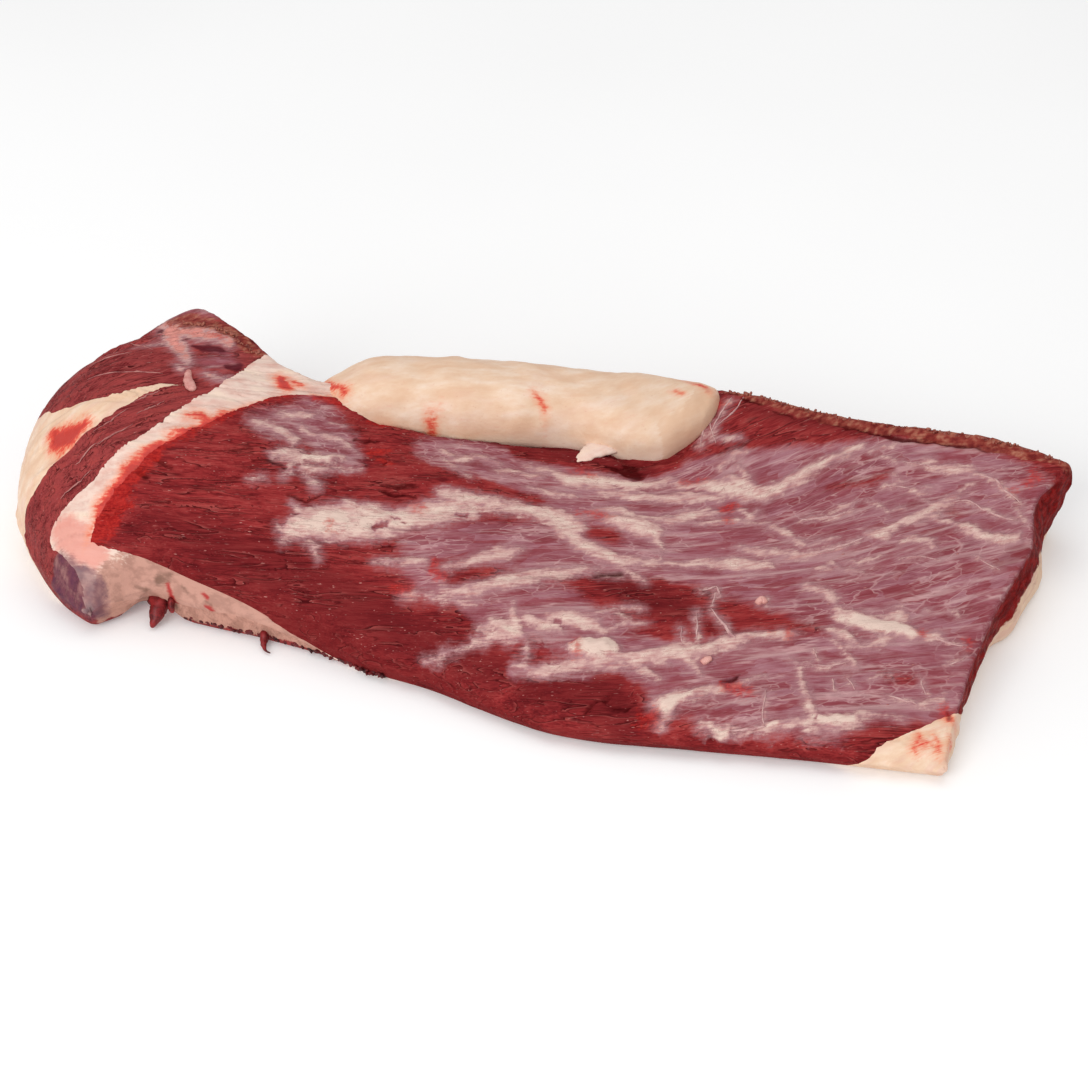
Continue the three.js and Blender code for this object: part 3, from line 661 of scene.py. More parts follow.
def relief(x, y, s, t):
    """How far the surface stands above or below its smooth height, in millimetres."""
    v = flat_across(x, y)
    place = np.stack([x, y], -1)
    wx, wy = wandered(x, y)

    def streaks(length, width, seed, octaves=1):
        return noise(np.stack([x / length, v / width], -1), seed, octaves)

    skin = brush(SKIN, x, y) - np.maximum(0, brush(BARE, x, y))
    bare = 1 - ease(skin, -4, 4)
    height = FAT_HEIGHT * ease(brush(FAT, wx, wy), -0.8, 1.6) * (1 + 0.4 * noise(place / 6, 5, 2))
    height += PROUD_HEIGHT * ease(brush(PROUD, wx, wy), -2, 3) * (1 + 0.3 * noise(place / 4, 10, 2))
    height += NODULE_HEIGHT * ease(brush(NODULE, wx, wy), -2, 4)
    height -= TRENCH_DEPTH * ease(brush(TRENCH, wx, wy), -3, 3)
    height -= HOLE_DEPTH * ease(brush(HOLES_IN_FAT, wx, wy), -0.6, 1)
    height -= GAP_DEPTH * ease(brush(DARK_GAPS_AND_SHADE, wx, wy), -1, 1.2)
    height += BLOOD_HEIGHT * ease(brush(BLOOD, wx, wy), -0.5, 1.5)
    height += BUNDLE_HEIGHT * streaks(46, 15, 6, 2)
    height += STREAK_HEIGHT * (1 + bare) * streaks(22, 3.2, 7, 2)
    slit = 1 - ease(np.abs(streaks(46, 5, 8, 2)), 0.0, 0.12)
    height -= bare * SLIT_DEPTH * slit * ease(streaks(30, 16, 9), -0.4, 0.4)
    ledge = LEDGES * streaks(60, 13, 11, 2)
    height += bare * LEDGE_HEIGHT * (ledge - np.floor(ledge) - 0.5) * ease(streaks(26, 12, 12), -0.5, 0.3)
    inner = np.minimum.reduce([s * LENGTH, (1 - s) * LENGTH, t * WIDTH, (1 - t) * WIDTH])
    return height * ease(inner, 0, RIM_CALM)


# ---- Closed shapes ----

ALONG = 440
ACROSS = 176
RINGS = 16
CROWDING = 0.25
WALL_SWELL = 1.2
WALL_ROUGHNESS = 1.1
FOOT_LUMPS = 0.35
# How far the flat end's foot and its top stand out from the outline, by place across it.
END_FOOT = [
    (-60, 0), (-4, 0), (0, 1), (4, 4), (10, 5), (20, 4), (32, 3.5), (44, 4), (54, 3), (62, 0), (70, -3),
    (80, -6), (92, -7), (110, -7),
]
END_TOP = [(-60, 0), (36, 0), (48, -1.5), (58, -3), (70, -3), (78, -1), (84, 0), (110, 0)]
SHEET_ACROSS = 72
SHEET_OVERHANG = 0.03
FLOOR_BELOW = -60
PRISM_HEIGHT = 200
FOLD_STEP = 1.5
LUMP_RINGS = 220
LUMP_AROUND = 90
# How high the cap's cream fat shows on the wall of the flat end.
END_FAT = [(-12, -3), (-6, 6), (0, 13), (8, 17), (20, 19), (36, 20), (48, 21), (58, 19), (64, 8), (69, -3)]


def spread(u):
    """Even steps, crowded a little towards the rims."""
    return (1 - CROWDING) * u + CROWDING * (1 - np.cos(np.pi * u)) / 2


def to_mesh(name, points, faces):
    """A Blender object from plan millimetres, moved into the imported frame's metres."""
    placed = np.array(points, float)
    placed[:, :2] += PLAN_SHIFT
    mesh = bpy.data.meshes.new(name)
    mesh.from_pydata((placed * MM).tolist(), [], faces)
    mesh.update()
    thing = bpy.data.objects.new(name, mesh)
    bpy.context.scene.collection.objects.link(thing)
    return thing


def rim_loop(along, across):
    """Grid places round the rim, anticlockwise from the near corner of the point end."""
    return ([(i, 0) for i in range(along)] + [(along, j) for j in range(across)]
            + [(i, across) for i in range(along, 0, -1)] + [(0, j) for j in range(across, 0, -1)])


def grid_faces(along, across):
    """The cells of a grid whose points are numbered across first."""
    step = across + 1
    starts = [i * step + j for i in range(along) for j in range(across)]
    return [(a, a + step, a + step + 1, a + 1) for a in starts]


def band_faces(upper, lower):
    """The faces between two closed loops of points."""
    after = [(n + 1) % len(upper) for n in range(len(upper))]
    return [(upper[n], lower[n], lower[m], upper[m]) for n, m in enumerate(after)]


def tube(name, start, body, end):
    """A closed tube of rings of points, with a fan of faces to the point at each end."""
    rings, around = body.shape[:2]
    points = np.concatenate([[start], body.reshape(-1, 3), [end]])
    last = len(points) - 1

    def at(i, j):
        return 1 + i * around + j % around

    faces = [(0, at(0, j + 1), at(0, j)) for j in range(around)]
    faces += [(last, at(rings - 1, j), at(rings - 1, j + 1)) for j in range(around)]
    cells = [(i, j) for i in range(rings - 1) for j in range(around)]
    faces += [(at(i, j), at(i, j + 1), at(i + 1, j + 1), at(i + 1, j)) for i, j in cells]
    return to_mesh(name, points, faces)


def end_lean(s, t):
    """How far the top leans back from the flat end."""
    return through(FLAT_END_LEAN, t) * np.maximum(0, 1 - (1 - s) / LEAN_SHARE)


def envelope():
    """The whole slab of meat as one closed shell, with relief on its lean side and its walls."""
    along, across = (spread(np.linspace(0, 1, count + 1)) for count in (ALONG, ACROSS))
    s, t = np.meshgrid(along, across, indexing="ij")
    plan = plan_point(s, t)
    raised = relief(plan[..., 0], plan[..., 1], s, t)
    top = np.stack([plan[..., 0] - end_lean(s, t), plan[..., 1], lean_height(s, t) + raised], -1)
    foot = np.concatenate([plan, foot_height(s, t)[..., None]], -1)
    foot[..., 0] += np.interp(plan[..., 1], *np.transpose(END_FOOT)) * ease(s, 0.965, 1)
    top[..., 0] += np.interp(plan[..., 1], *np.transpose(END_TOP)) * ease(s, 0.96, 1)
    rim = rim_loop(ALONG, ACROSS)
    count = len(rim)
    rim_i, rim_j = np.array([p[0] for p in rim]), np.array([p[1] for p in rim])
    rim_top, rim_foot = top[rim_i, rim_j], foot[rim_i, rim_j]
    ahead = np.roll(rim_foot, -3, 0) - np.roll(rim_foot, 3, 0)
    outward = np.stack([ahead[:, 1], -ahead[:, 0]], -1)
    outward /= np.linalg.norm(outward, axis=1, keepdims=True)
    points = [top.reshape(-1, 3)]
    for ring in range(1, RINGS):
        share = ring / RINGS
        level = rim_top * (1 - share) + rim_foot * share
        swell = np.sin(np.pi * share)
        rough = noise(level / 7, 21, 3)
        level[:, :2] += outward * (swell * (WALL_SWELL + WALL_ROUGHNESS * rough))[:, None]
        points.append(level)
    ring_start = (ALONG + 1) * (ACROSS + 1)
    foot_ring = ring_start + (RINGS - 1) * count
    points.append(rim_foot)
    inner_start = foot_ring + count
    inner = foot[2:ALONG:2, 2:ACROSS:2].reshape(-1, 3)
    lumpy = noise(inner[:, :2] / 30, 31, 3) + 0.4 * noise(inner[:, :2] / 9, 32, 2)
    inner[:, 2] = np.maximum(inner[:, 2], 0) + FOOT_LUMPS * np.maximum(0, lumpy)
    points.append(inner)
    inner_across = ACROSS // 2 - 1

    faces = grid_faces(ALONG, ACROSS)
    loops = [[i * (ACROSS + 1) + j for i, j in rim]]
    loops += [[ring_start + k * count + n for n in range(count)] for k in range(RINGS)]
    for upper, lower in zip(loops, loops[1:]):
        faces += band_faces(upper, lower)
    rim_at = {place: foot_ring + n for n, place in enumerate(rim)}

    def foot_index(i, j):
        if (i, j) in rim_at:
            return rim_at[i, j]
        return inner_start + (i // 2 - 1) * inner_across + j // 2 - 1

    turn = ((0, 0), (0, 1), (0, 2), (1, 2), (2, 2), (2, 1), (2, 0), (1, 0))
    for i in range(0, ALONG, 2):
        for j in range(0, ACROSS, 2):
            cell = [(i + di, j + dj) for di, dj in turn]
            faces.append([foot_index(*p) for p in cell if p in rim_at or (p[0] % 2 == 0 and p[1] % 2 == 0)])
    return to_mesh("envelope", np.concatenate(points), faces)


def block_below(name, height_at, along):
    """Everything below a curved sheet, as a closed block."""
    across = np.linspace(-SHEET_OVERHANG, 1 + SHEET_OVERHANG, SHEET_ACROSS + 1)
    s, t = np.meshgrid(along, across, indexing="ij")
    plan = plan_point(s, t)
    top = np.concatenate([plan, height_at(s, t)[..., None]], -1)
    low = top.copy()
    low[..., 2] = FLOOR_BELOW
    wide = len(along) - 1
    rim = [i * (SHEET_ACROSS + 1) + j for i, j in rim_loop(wide, SHEET_ACROSS)]
    points = np.concatenate([top.reshape(-1, 3), low.reshape(-1, 3)[rim]])
    foot = range(top.shape[0] * top.shape[1], len(points))
    faces = grid_faces(wide, SHEET_ACROSS) + band_faces(rim, foot) + [list(reversed(foot))]
    return to_mesh(name, points, faces)


def turned_up(inside, top, distance, reach):
    """A sheet's height: inside the meat, turned up to its top within reach of the line, and past it."""
    curve = inside + (top - inside) * np.exp(-np.maximum(distance, 0) / reach)
    return np.where(distance > 0, curve, top - distance)


def corner_distance(x, y):
    """How far a plan point lies inside the line that cuts off the fat corner."""
    (x0, y0), (x1, y1) = CORNER_LINE
    return ((x1 - x0) * (y - y0) - (y1 - y0) * (x - x0)) / math.hypot(x1 - x0, y1 - y0)


def ragged(x, y, seed):
    """Millimetres by which a border wanders."""
    return 0.9 * noise(np.stack([x, y], -1) / 6, seed, 3)


def surface_height(s, t, plan):
    """The height of the lean side, relief and all, at shares along and across."""
    return lean_height(s, t) + relief(plan[..., 0], plan[..., 1], np.clip(s, 0, 1), np.clip(t, 0, 1))


def seam_top(s, t):
    """The sheet between the flat and the seam."""
    plan = plan_point(s, t)
    x, y = plan[..., 0], plan[..., 1]
    drop = through(NEAR_DROP, s) * np.exp(-np.maximum(0, t) * WIDTH / NEAR_DROP_REACH)
    inside = in_table(SEAM_TOP, s, t) - drop
    top = surface_height(s, t, plan)
    left = x - along_line(FLAT_LINE_X, y) + ragged(x, y, 41)
    return np.maximum(turned_up(inside, top, left, TURN_UP_SEAM),
                      turned_up(inside, top, corner_distance(x, y) + ragged(x, y, 42), TURN_UP_CORNER))


def point_top(s, t):
    """The sheet between the seam and the point."""
    plan = plan_point(s, t)
    x, y = plan[..., 0], plan[..., 1]
    inside = in_table(SEAM_TOP, s, t) - through(SEAM_THICKNESS, s)
    left = x - along_line(POINT_LINE_X, y) + 0.6 * ragged(x, y, 43)
    return turned_up(inside, surface_height(s, t, plan), left, TURN_UP_POINT)


def cap_top(s, t):
    """The sheet on top of the fat cap."""
    return in_table(CAP_TOP, s, t)


def fold_block():
    """A wedge-shaped prism: the fold of fat between the two lobes of the point."""
    outline = [FOLD_APEX, *FOLD_FAR_SIDE, *reversed(FOLD_NEAR_SIDE)]
    fine = []
    for (x0, y0), (x1, y1) in zip(outline, outline[1:] + outline[:1]):
        steps = max(1, int(math.hypot(x1 - x0, y1 - y0) / FOLD_STEP))
        fine += [(x0 + (x1 - x0) * k / steps, y0 + (y1 - y0) * k / steps) for k in range(steps)]
    flat = np.array(fine)
    flat = flat + 0.7 * np.stack([noise(flat / 5, 51, 2), noise(flat / 5, 52, 2)], -1)
    count = len(flat)
    levels = [np.column_stack([flat, np.full(count, z)]) for z in (FLOOR_BELOW, FLOOR_BELOW + PRISM_HEIGHT)]
    faces = [[n, (n + 1) % count, (n + 1) % count + count, n + count] for n in range(count)]
    faces += [list(range(count - 1, -1, -1)), [count + n for n in range(count)]]
    return to_mesh("fold", np.concatenate(levels), faces)


def hard_fat():
    """The long lump of hard fat on the far edge, as a closed tube that swells and tapers."""
    s = np.linspace(0, 1, LUMP_RINGS + 1)[1:-1]
    angle = np.linspace(0, 2 * np.pi, LUMP_AROUND, endpoint=False)
    sideways = np.sign(np.cos(angle)) * np.abs(np.cos(angle)) ** 0.82
    up = (np.sign(np.sin(angle)) * np.abs(np.sin(angle)) ** 0.78)[None]
    middle = through(LUMP_MIDDLE, s)
    size = roll(np.minimum(s, 1 - s), LUMP_TAPER, 0)
    depth = size * through(LUMP_HALF_DEPTH, s)
    rise, drop = size * through(LUMP_RISE, s), size * through(LUMP_DROP, s)
    y = middle[:, 1:2] + depth[:, None] * sideways[None]
    z = middle[:, 2:3] + np.where(up > 0, rise[:, None], drop[:, None]) * up
    x = np.repeat(middle[:, :1], LUMP_AROUND, 1)
    body = np.stack([x, y, z], -1)
    out = body - middle[:, None]
    out /= np.linalg.norm(out, axis=-1, keepdims=True) + 1e-9
    swell = 1.3 * noise(body / 26, 61, 2) + 0.35 * noise(body / 7, 62, 2)
    body = body + out * (swell * np.minimum(1, size * 1.2)[:, None])[..., None]
    return tube("hard_fat", LUMP_MIDDLE[0], body, LUMP_MIDDLE[-1])


def combined(name, base, *steps):
    """base with each (operation, other) done to it in turn; the objects given are left as they are."""
    work = bpy.data.objects.new(name, base.data.copy())
    bpy.context.scene.collection.objects.link(work)
    for operation, other in steps:
        cut = work.modifiers.new(operation, "BOOLEAN")
        cut.operation = operation
        cut.solver = "MANIFOLD"
        cut.object = other
    bpy.context.view_layer.update()
    made = bpy.data.meshes.new_from_object(work.evaluated_get(bpy.context.evaluated_depsgraph_get()))
    work.modifiers.clear()
    old = work.data
    work.data = made
    bpy.data.meshes.remove(old)
    return work


def keep_largest(piece):
    """Drops the crumbs that cutting leaves beside the main body."""
    mesh = piece.data
    count = len(mesh.vertices)
    edges = np.zeros(len(mesh.edges) * 2, np.int32)
    mesh.edges.foreach_get("vertices", edges)
    edges = edges.reshape(-1, 2)
    body = np.arange(count)
    while True:
        low = np.minimum(body[edges[:, 0]], body[edges[:, 1]])
        new = body.copy()
        np.minimum.at(new, edges[:, 0], low)
        np.minimum.at(new, edges[:, 1], low)
        new = new[new]
        if np.array_equal(new, body):
            break
        body = new
    names, sizes = np.unique(body, return_counts=True)
    if len(names) == 1:
        return
    keep = body == names[np.argmax(sizes)]
    points = np.zeros(count * 3)
    mesh.vertices.foreach_get("co", points)
    index = np.cumsum(keep) - 1
    faces = [[int(index[v]) for v in face.vertices] for face in mesh.polygons if keep[face.vertices[0]]]
    smaller = bpy.data.meshes.new(mesh.name)
    smaller.from_pydata(points.reshape(-1, 3)[keep].tolist(), [], faces)
    piece.data = smaller
    bpy.data.meshes.remove(mesh)


# ---- Attributes that the finishes read ----

NEAR_BAND = 12
WALL_MARKS_END = -60
KNOB_TOP = 34
KNOB_FOOT = 7
END_FAT_FROM = 205
CAP_CORNER_FROM = 150
LUMP_BLOOD_ABOVE = 40
# Below this height the hard fat's lower face takes painted light.
LUMP_LIT_BELOW = 50


def plan_of(mesh):
    """A mesh's points, in millimetres on the plan."""
    points = np.zeros(len(mesh.vertices) * 3)
    mesh.vertices.foreach_get("co", points)
    points = points.reshape(-1, 3) / MM
    points[:, :2] -= PLAN_SHIFT
    return points


def add_field(mesh, name, values):
    layer = mesh.attributes.new(name, "FLOAT", "POINT")
    layer.data.foreach_set("value", np.asarray(values, np.float32))


def dress(piece, across, fields):
    """Adds the grain coordinates, in centimetres, and each named field, in millimetres inside its strokes."""
    mesh = piece.data
    points = plan_of(mesh)
    x, y, z = points.T
    grain = np.stack([x, across(x, y), z], -1) / 10
    layer = mesh.attributes.new("grain", "FLOAT_VECTOR", "POINT")
    layer.data.foreach_set("vector", grain.astype(np.float32).ravel())
    for name, values in fields(*wandered(x, y), x, y, z).items():
        add_field(mesh, name, values)


def strew(flat):
    """Where flecks of fat are strewn over the flat, and which way its fibres run."""
    x, y, z = plan_of(flat.data).T
    bare = 1 - ease(brush(SKIN, x, y) - np.maximum(0, brush(BARE, x, y) + 3) * 1.2, -3, 3)
    top = 1 - ease(lean_under(x, y) - z, 2, 5)
    clear = 1 - ease(brush(FAT, x, y), -3, 0)
    add_field(flat.data, "strewn", (0.25 + 0.75 * bare) * top * clear)
    slope = slope_at(FLAT_GRAIN, x, y)
    layer = flat.data.attributes.new("fibre", "FLOAT_VECTOR", "POINT")
    fibre = np.stack([np.ones_like(x), slope, 0 * x], -1)
    layer.data.foreach_set("vector", fibre.astype(np.float32).ravel())


def border_blood(x, y, reach):
    """Blood along the border of flat and seam: reach gives how wide it runs, by place along it."""
    width = np.interp(y, *np.transpose(reach)) * (1 + 0.45 * noise(np.stack([x, y], -1) / 9, 73, 2))
    return width - np.abs(x - along_line(FLAT_LINE_X, y))


def flat_fields(wx, wy, x, y, z):
    """The strokes that the flat's finish mixes, kept off its walls, and where its walls take painted shade."""
    below = lean_under(x, y) - z
    wall = 6 * ease(below, 1.5, 5)
    skin = np.minimum(brush(SKIN, wx, wy), 5) - np.maximum(0, np.minimum(brush(BARE, wx, wy), 6) + 3) * 1.2
    fat = np.minimum(brush(FAT, wx, wy) + 0.5, 5)
    fat = np.maximum(fat, np.minimum(brush(SOLID, wx, wy) + 1, 3) * 3)
    holes = brush(HOLES_IN_FAT, wx, wy)
    rim = 3 * ease(y - edge_y(FAR_EDGE, x), -12, -2) * ease(below, 2, 8)
    return {
        "fat": np.where(holes > 0, -holes, fat) - wall * 1.6,
        "skin": skin - wall * 1.6,
        "blood": np.maximum(brush(BLOOD, wx, wy), border_blood(wx, wy, BORDER_ON_FLAT)) - wall,
        "dark": brush(DARK_GAPS_AND_SHADE, wx, wy) - wall,
        # painted shade on the near slope and in the dips, and darker lean in the skin windows
        "deep": brush(DARK_LEAN_AND_SHADE, wx, wy),
        "crust": brush(CRUST, wx, wy) - wall * 0.8 - rim,
        # where the walls take painted shade, strongest on the flat end's wall
        "wall": np.maximum(wall, 12 * ease(below, 0.2, 2.2) * ease(x, 204, 216)),
        "tan": end_fat(x, y, z),
        "mauve": nowhere(x),
    }


def nowhere(x):
    """A field with no stroke in it."""
    return np.full(x.shape, -BRUSH_REACH)


def end_fat(x, y, z):
    """How deep a point lies in the fat cap's bulge, low on the wall of the flat end."""
    top = np.interp(y, *np.transpose(END_FAT)) + 1.2 * noise(np.stack([y, z], -1) / 7, 72, 2)
    return np.where(x > END_FAT_FROM, np.minimum(top - z, 5), -BRUSH_REACH)


def edge_y(edge, x):
    """How far across the near or far edge lies, by place along it."""
    return np.interp(x, *np.transpose(np.array(edge, float)))


def near_band(x, y):
    """Whether plan points lie close to the near wall."""
    return y < edge_y(NEAR_EDGE, x) + NEAR_BAND


def red_on_wall(wx, x, y, z, elsewhere):
    """The red marks on the near wall, and another field's value away from it."""
    return np.where(near_band(x, y) & (x < WALL_MARKS_END), brush(WALL_RED, wx, z), elsewhere)


def knob_skin(wx, wy, z):
    """How deep a point lies in the purple skin, which stops short of the knob's top and foot."""
    return np.minimum.reduce([brush(KNOB, wx, wy), (KNOB_TOP - z) * 0.7, (z - KNOB_FOOT) * 0.5])


def near_wall(x, y, z):
    """How deep a point lies in the cut fat below the lean on the near side, above its ragged dark foot."""
    from_edge = y - edge_y(NEAR_EDGE, x)
    foot = 2.6 + 1.6 * noise(np.stack([x, y], -1) / 5, 71, 2)
    return np.minimum.reduce([9 - from_edge, (z - foot) * 1.5, (-62 - x) * 0.5, (x + 200) * 1.0])


def lean_under(x, y):
    """The smooth height of the lean side over a plan point, from a coarse table made once."""
    return looked_up(LEAN_GRID, LEAN_GRID_X, LEAN_GRID_Y, x, y)


def lean_grid():
    """The table of smooth heights, carried a little way out past the outline."""
    s, t = np.meshgrid(np.linspace(0, 1, 1200), np.linspace(0, 1, 500), indexing="ij")
    plan = plan_point(s, t)
    i = ((plan[..., 0] - end_lean(s, t) - LEAN_GRID_X[0]) / LEAN_GRID_CELL).round().astype(int)
    j = ((plan[..., 1] - LEAN_GRID_Y[0]) / LEAN_GRID_CELL).round().astype(int)
    grid = np.full((len(LEAN_GRID_X), len(LEAN_GRID_Y)), -1.0)
    np.maximum.at(grid, (i, j), lean_height(s, t))
    for _ in range(LEAN_GRID_OUT):
        empty = grid < 0
        padded = np.pad(grid, 1, mode="edge")
        sides = [padded[:-2, 1:-1], padded[2:, 1:-1], padded[1:-1, :-2], padded[1:-1, 2:]]
        grid[empty] = np.maximum.reduce(sides)[empty]
    return np.maximum(grid, 0)


LEAN_GRID_CELL = 2.0
LEAN_GRID_X = np.arange(-300, 272, LEAN_GRID_CELL)
LEAN_GRID_Y = np.arange(-144, 140, LEAN_GRID_CELL)
LEAN_GRID_OUT = 12
LEAN_GRID = lean_grid()


def seam_fields(wx, wy, x, y, z):
    """The strokes that the seam's finish mixes: blood on top, painted shade in gaps and in the dents of its
    near wall, and red marks there.
    """
    from_top = lean_under(x, y) - z
    down = ease(from_top, 2, 6)
    corner = corner_distance(x, y) < 6
    border = np.where(corner, -BRUSH_REACH, border_blood(wx, wy, BORDER_ON_SEAM))
    return {
        "blood": np.maximum(brush(BLOOD, wx, wy), border) * (1 - down) - BRUSH_REACH * down * ~corner,
        # painted shade in the gaps, and in the dents and under the arch of the near wall
        "dark": np.maximum(brush(DARK_GAPS_AND_SHADE, wx, wy),
                           np.where(near_band(x, y), brush(WALL_DENT_SHADE, wx, z) - 1, -BRUSH_REACH)),
        "red": red_on_wall(wx, x, y, z, -BRUSH_REACH),
        "tan": np.minimum(near_wall(x, y, z), from_top + 1.5 * ease(x, -196, -150) - 0.5),
        "mauve": knob_skin(wx, wy, z),
        "rosy": brush(SEAM_ROSY, wx, wy) - 3 * down,
    }


def point_fields(wx, wy, x, y, z):
    """The strokes that the point's finish mixes."""
    return {
        "fat": brush(POINT_SINEW, wx, wy),
        "skin": brush(POINT_SKIN, wx, wy),
        "blood": red_on_wall(wx, x, y, z, brush(POINT_RED, wx, wy)),
        "dark": brush(POINT_DARK, wx, wy),
        "deep": nowhere(x),
        "crust": brush(CRUST, wx, wy),
        "wall": np.zeros(x.shape),
        "tan": near_wall(x, y, z),
        "mauve": knob_skin(wx, wy, z),
    }


def cap_fields(wx, wy, x, y, z):
    """The strokes that the cap's finish mixes, on its upper side alone."""
    top = np.where(x > CAP_CORNER_FROM, ease(z, 8, 12), ease(z, 14, 20))
    marks = {name: brush(strokes, wx, wy) * top - BRUSH_REACH * (1 - top)
             for name, strokes in (("blood", BLOOD), ("dark", DARK_GAPS_AND_SHADE))}
    return {**marks, **{name: nowhere(x) for name in ("red", "tan", "mauve")}}


def lump_fields(wx, wy, x, y, z):
    """The strokes that the hard fat's finish mixes, with painted light on its lower front face."""
    marks = {
        "blood": np.where(z > LUMP_BLOOD_ABOVE, brush(LUMP_RED, wx, wy), -BRUSH_REACH),
        "tan": brush(LUMP_TAN, wx, wy),
        # painted light on the lower front face, which the lamps leave too dark
        "pale": LUMP_LIT_BELOW - z,
    }
    return {**marks, **{name: nowhere(x) for name in ("dark", "red", "mauve")}}


# ---- Finishes ----

def linear(red, green, blue):
    """A colour given as it looks on screen, 0 to 255, in the linear values that shaders take."""
    shares = [c / 255 for c in (red, green, blue)]
    return tuple(c / 12.92 if c <= 10 / 255 else ((c + 0.055) / 1.055) ** 2.4 for c in shares) + (1,)


class Tree:
    """A node tree that is put together a node at a time."""

    def node(self, kind, *inputs, out=0, **settings):
        made = self.tree.nodes.new(kind)
        for key, value in settings.items():
            setattr(made, key, value)
        for socket, value in inputs:
            target = made.inputs[socket]
            if isinstance(value, bpy.types.NodeSocket):
                self.tree.links.new(value, target)
            else:
                target.default_value = value
        return made.outputs[out]


class Finish(Tree):
    """One material. Its grain runs in centimetres: along the fibres, across them and up."""

    def __init__(self, name, grained=True):
        self.material = bpy.data.materials.new(name)
        self.material.use_nodes = True
        self.tree = self.material.node_tree
        self.shader = next(n for n in self.tree.nodes if n.type == "BSDF_PRINCIPLED")
        if grained:
            self.grain = self.field("grain", out=1)

    def field(self, name, out=2):
        """A stored attribute: a number, or with out=1 a vector."""
        return self.node("ShaderNodeAttribute", out=out, attribute_name=name, attribute_type="GEOMETRY")

    def stretch(self, vector, x, y, z):
        return self.node("ShaderNodeVectorMath", (0, vector), (1, (x, y, z)), operation="MULTIPLY")

    def stretched_grain(self, along, across):
        return self.stretch(self.grain, along, across, across)

    def streaks(self, along, across, detail=2.0, rough=0.5, bend=0.0):
        """Noise with so many waves to the centimetre along the fibres and across them."""
        return self.noise(self.stretched_grain(along, across), 1.0, detail, rough, bend)

    def noise(self, vector, scale=1.0, detail=2.0, rough=0.5, bend=0.0):
        return self.node("ShaderNodeTexNoise", ("Vector", vector), ("Scale", scale), ("Detail", detail),
                         ("Roughness", rough), ("Distortion", bend))

    def maths(self, operation, a, b=0.0, c=0.0):
        return self.node("ShaderNodeMath", (0, a), (1, b), (2, c), operation=operation)

    def times(self, a, b):
        return self.maths("MULTIPLY", a, b)

    def between(self, value, low, high, to_low=0.0, to_high=1.0):
        """A smooth step from to_low to to_high as the value goes from low to high."""
        return self.node("ShaderNodeMapRange", (0, value), (1, low), (2, high), (3, to_low), (4, to_high),
                         interpolation_type="SMOOTHSTEP")

    def ragged_field(self, name, jitter, wander, low, high):
        """How far a point is inside a stroke, with an edge that wanders, as a share."""
        return self.between(self.maths("MULTIPLY_ADD", jitter, wander, self.field(name)), low, high)

    def mix(self, share, a, b):
        return self.node("ShaderNodeMix", (0, share), (6, a), (7, b), out=2, data_type="RGBA")

    def over(self, colour, tint, share, strength):
        """A tint laid over a colour where share says, and never stronger than strength."""
        return self.mix(self.times(share, strength), colour, tint)

    def ramp(self, value, *stops):
        """A colour from (place, colour) stops."""
        made = self.tree.nodes.new("ShaderNodeValToRGB")
        self.tree.links.new(value, made.inputs[0])
        elements = made.color_ramp.elements
        while len(elements) < len(stops):
            elements.new(0.5)
        for element, (place, colour) in zip(elements, stops):
            element.position = place
            element.color = colour
        return made.outputs[0]

    def surface(self, colour, rough, bump=None, strength=0.5, distance=0.0006):
        """Links the colour, roughness and bump to the shader, and gives the material."""
        links = self.tree.links
        links.new(colour, self.shader.inputs["Base Color"])
        links.new(rough, self.shader.inputs["Roughness"])
        if bump is not None:
            normal = self.node("ShaderNodeBump", ("Strength", strength), ("Distance", distance),
                               ("Height", bump))
            links.new(normal, self.shader.inputs["Normal"])
        return self.material


# The darkest lean tone, also laid on as painted shade.
LEAN_DARK_AND_SHADE = linear(96, 24, 28)
LEAN_RED = linear(142, 44, 45)
LEAN_LIGHT = linear(162, 66, 63)
# Painted shade in the slits and under the ledges, and a painted highlight on the ledges' crests.
SLIT_SHADE = linear(56, 6, 10)
CREST_HIGHLIGHT = linear(176, 92, 86)
FLECK = linear(208, 146, 138)
SKIN_RED = linear(136, 64, 71)
SKIN_MAUVE = linear(145, 84, 94)
SKIN_PALE = linear(170, 126, 136)
SKIN_HAZE = linear(204, 170, 170)
SKIN_LINE = linear(204, 160, 160)
FAT_WARM = linear(228, 202, 188)
FAT_SOFT = linear(218, 184, 174)
FAT_ROSE = linear(202, 160, 154)
FAT_GREY = linear(172, 126, 130)
BLOOD_DEEP = linear(150, 24, 24)
BLOOD_BRIGHT = linear(194, 48, 40)
# Painted shade in the dark gaps and creases, partly dark clots.
CLOT_AND_SHADE = linear(66, 6, 8)
MAROON = linear(84, 24, 34)
WALL_FAT = linear(196, 146, 130)
WALL_SHADE = linear(156, 112, 98)
CREAM = linear(232, 199, 171)
CREAM_WARM = linear(226, 187, 156)
CREAM_LIGHT = linear(238, 213, 192)
SEAM_CREAM = linear(230, 202, 188)
SEAM_ROSE = linear(216, 172, 158)
HARD_TAN = linear(222, 180, 148)
FAT_STRAND = linear(180, 112, 110)
FAT_CRACK = linear(120, 60, 58)
CRUST_TONES = (0.34, linear(104, 34, 32)), (0.5, linear(142, 64, 54)), (0.68, linear(178, 118, 96))
# Painted shade on the lean's cut walls and, darker still, on the flat end's wall, which faces away from the
# lamps.
WALL_LEAN_SHADE = linear(108, 28, 30)
END_WALL_SHADE = (0.4, linear(98, 8, 8)), (0.6, linear(138, 24, 22))
KNOB_TONES = (0.36, linear(92, 58, 78)), (0.5, linear(114, 72, 82)), (0.66, linear(156, 114, 112))
FAT_BLUSH = linear(222, 176, 162)
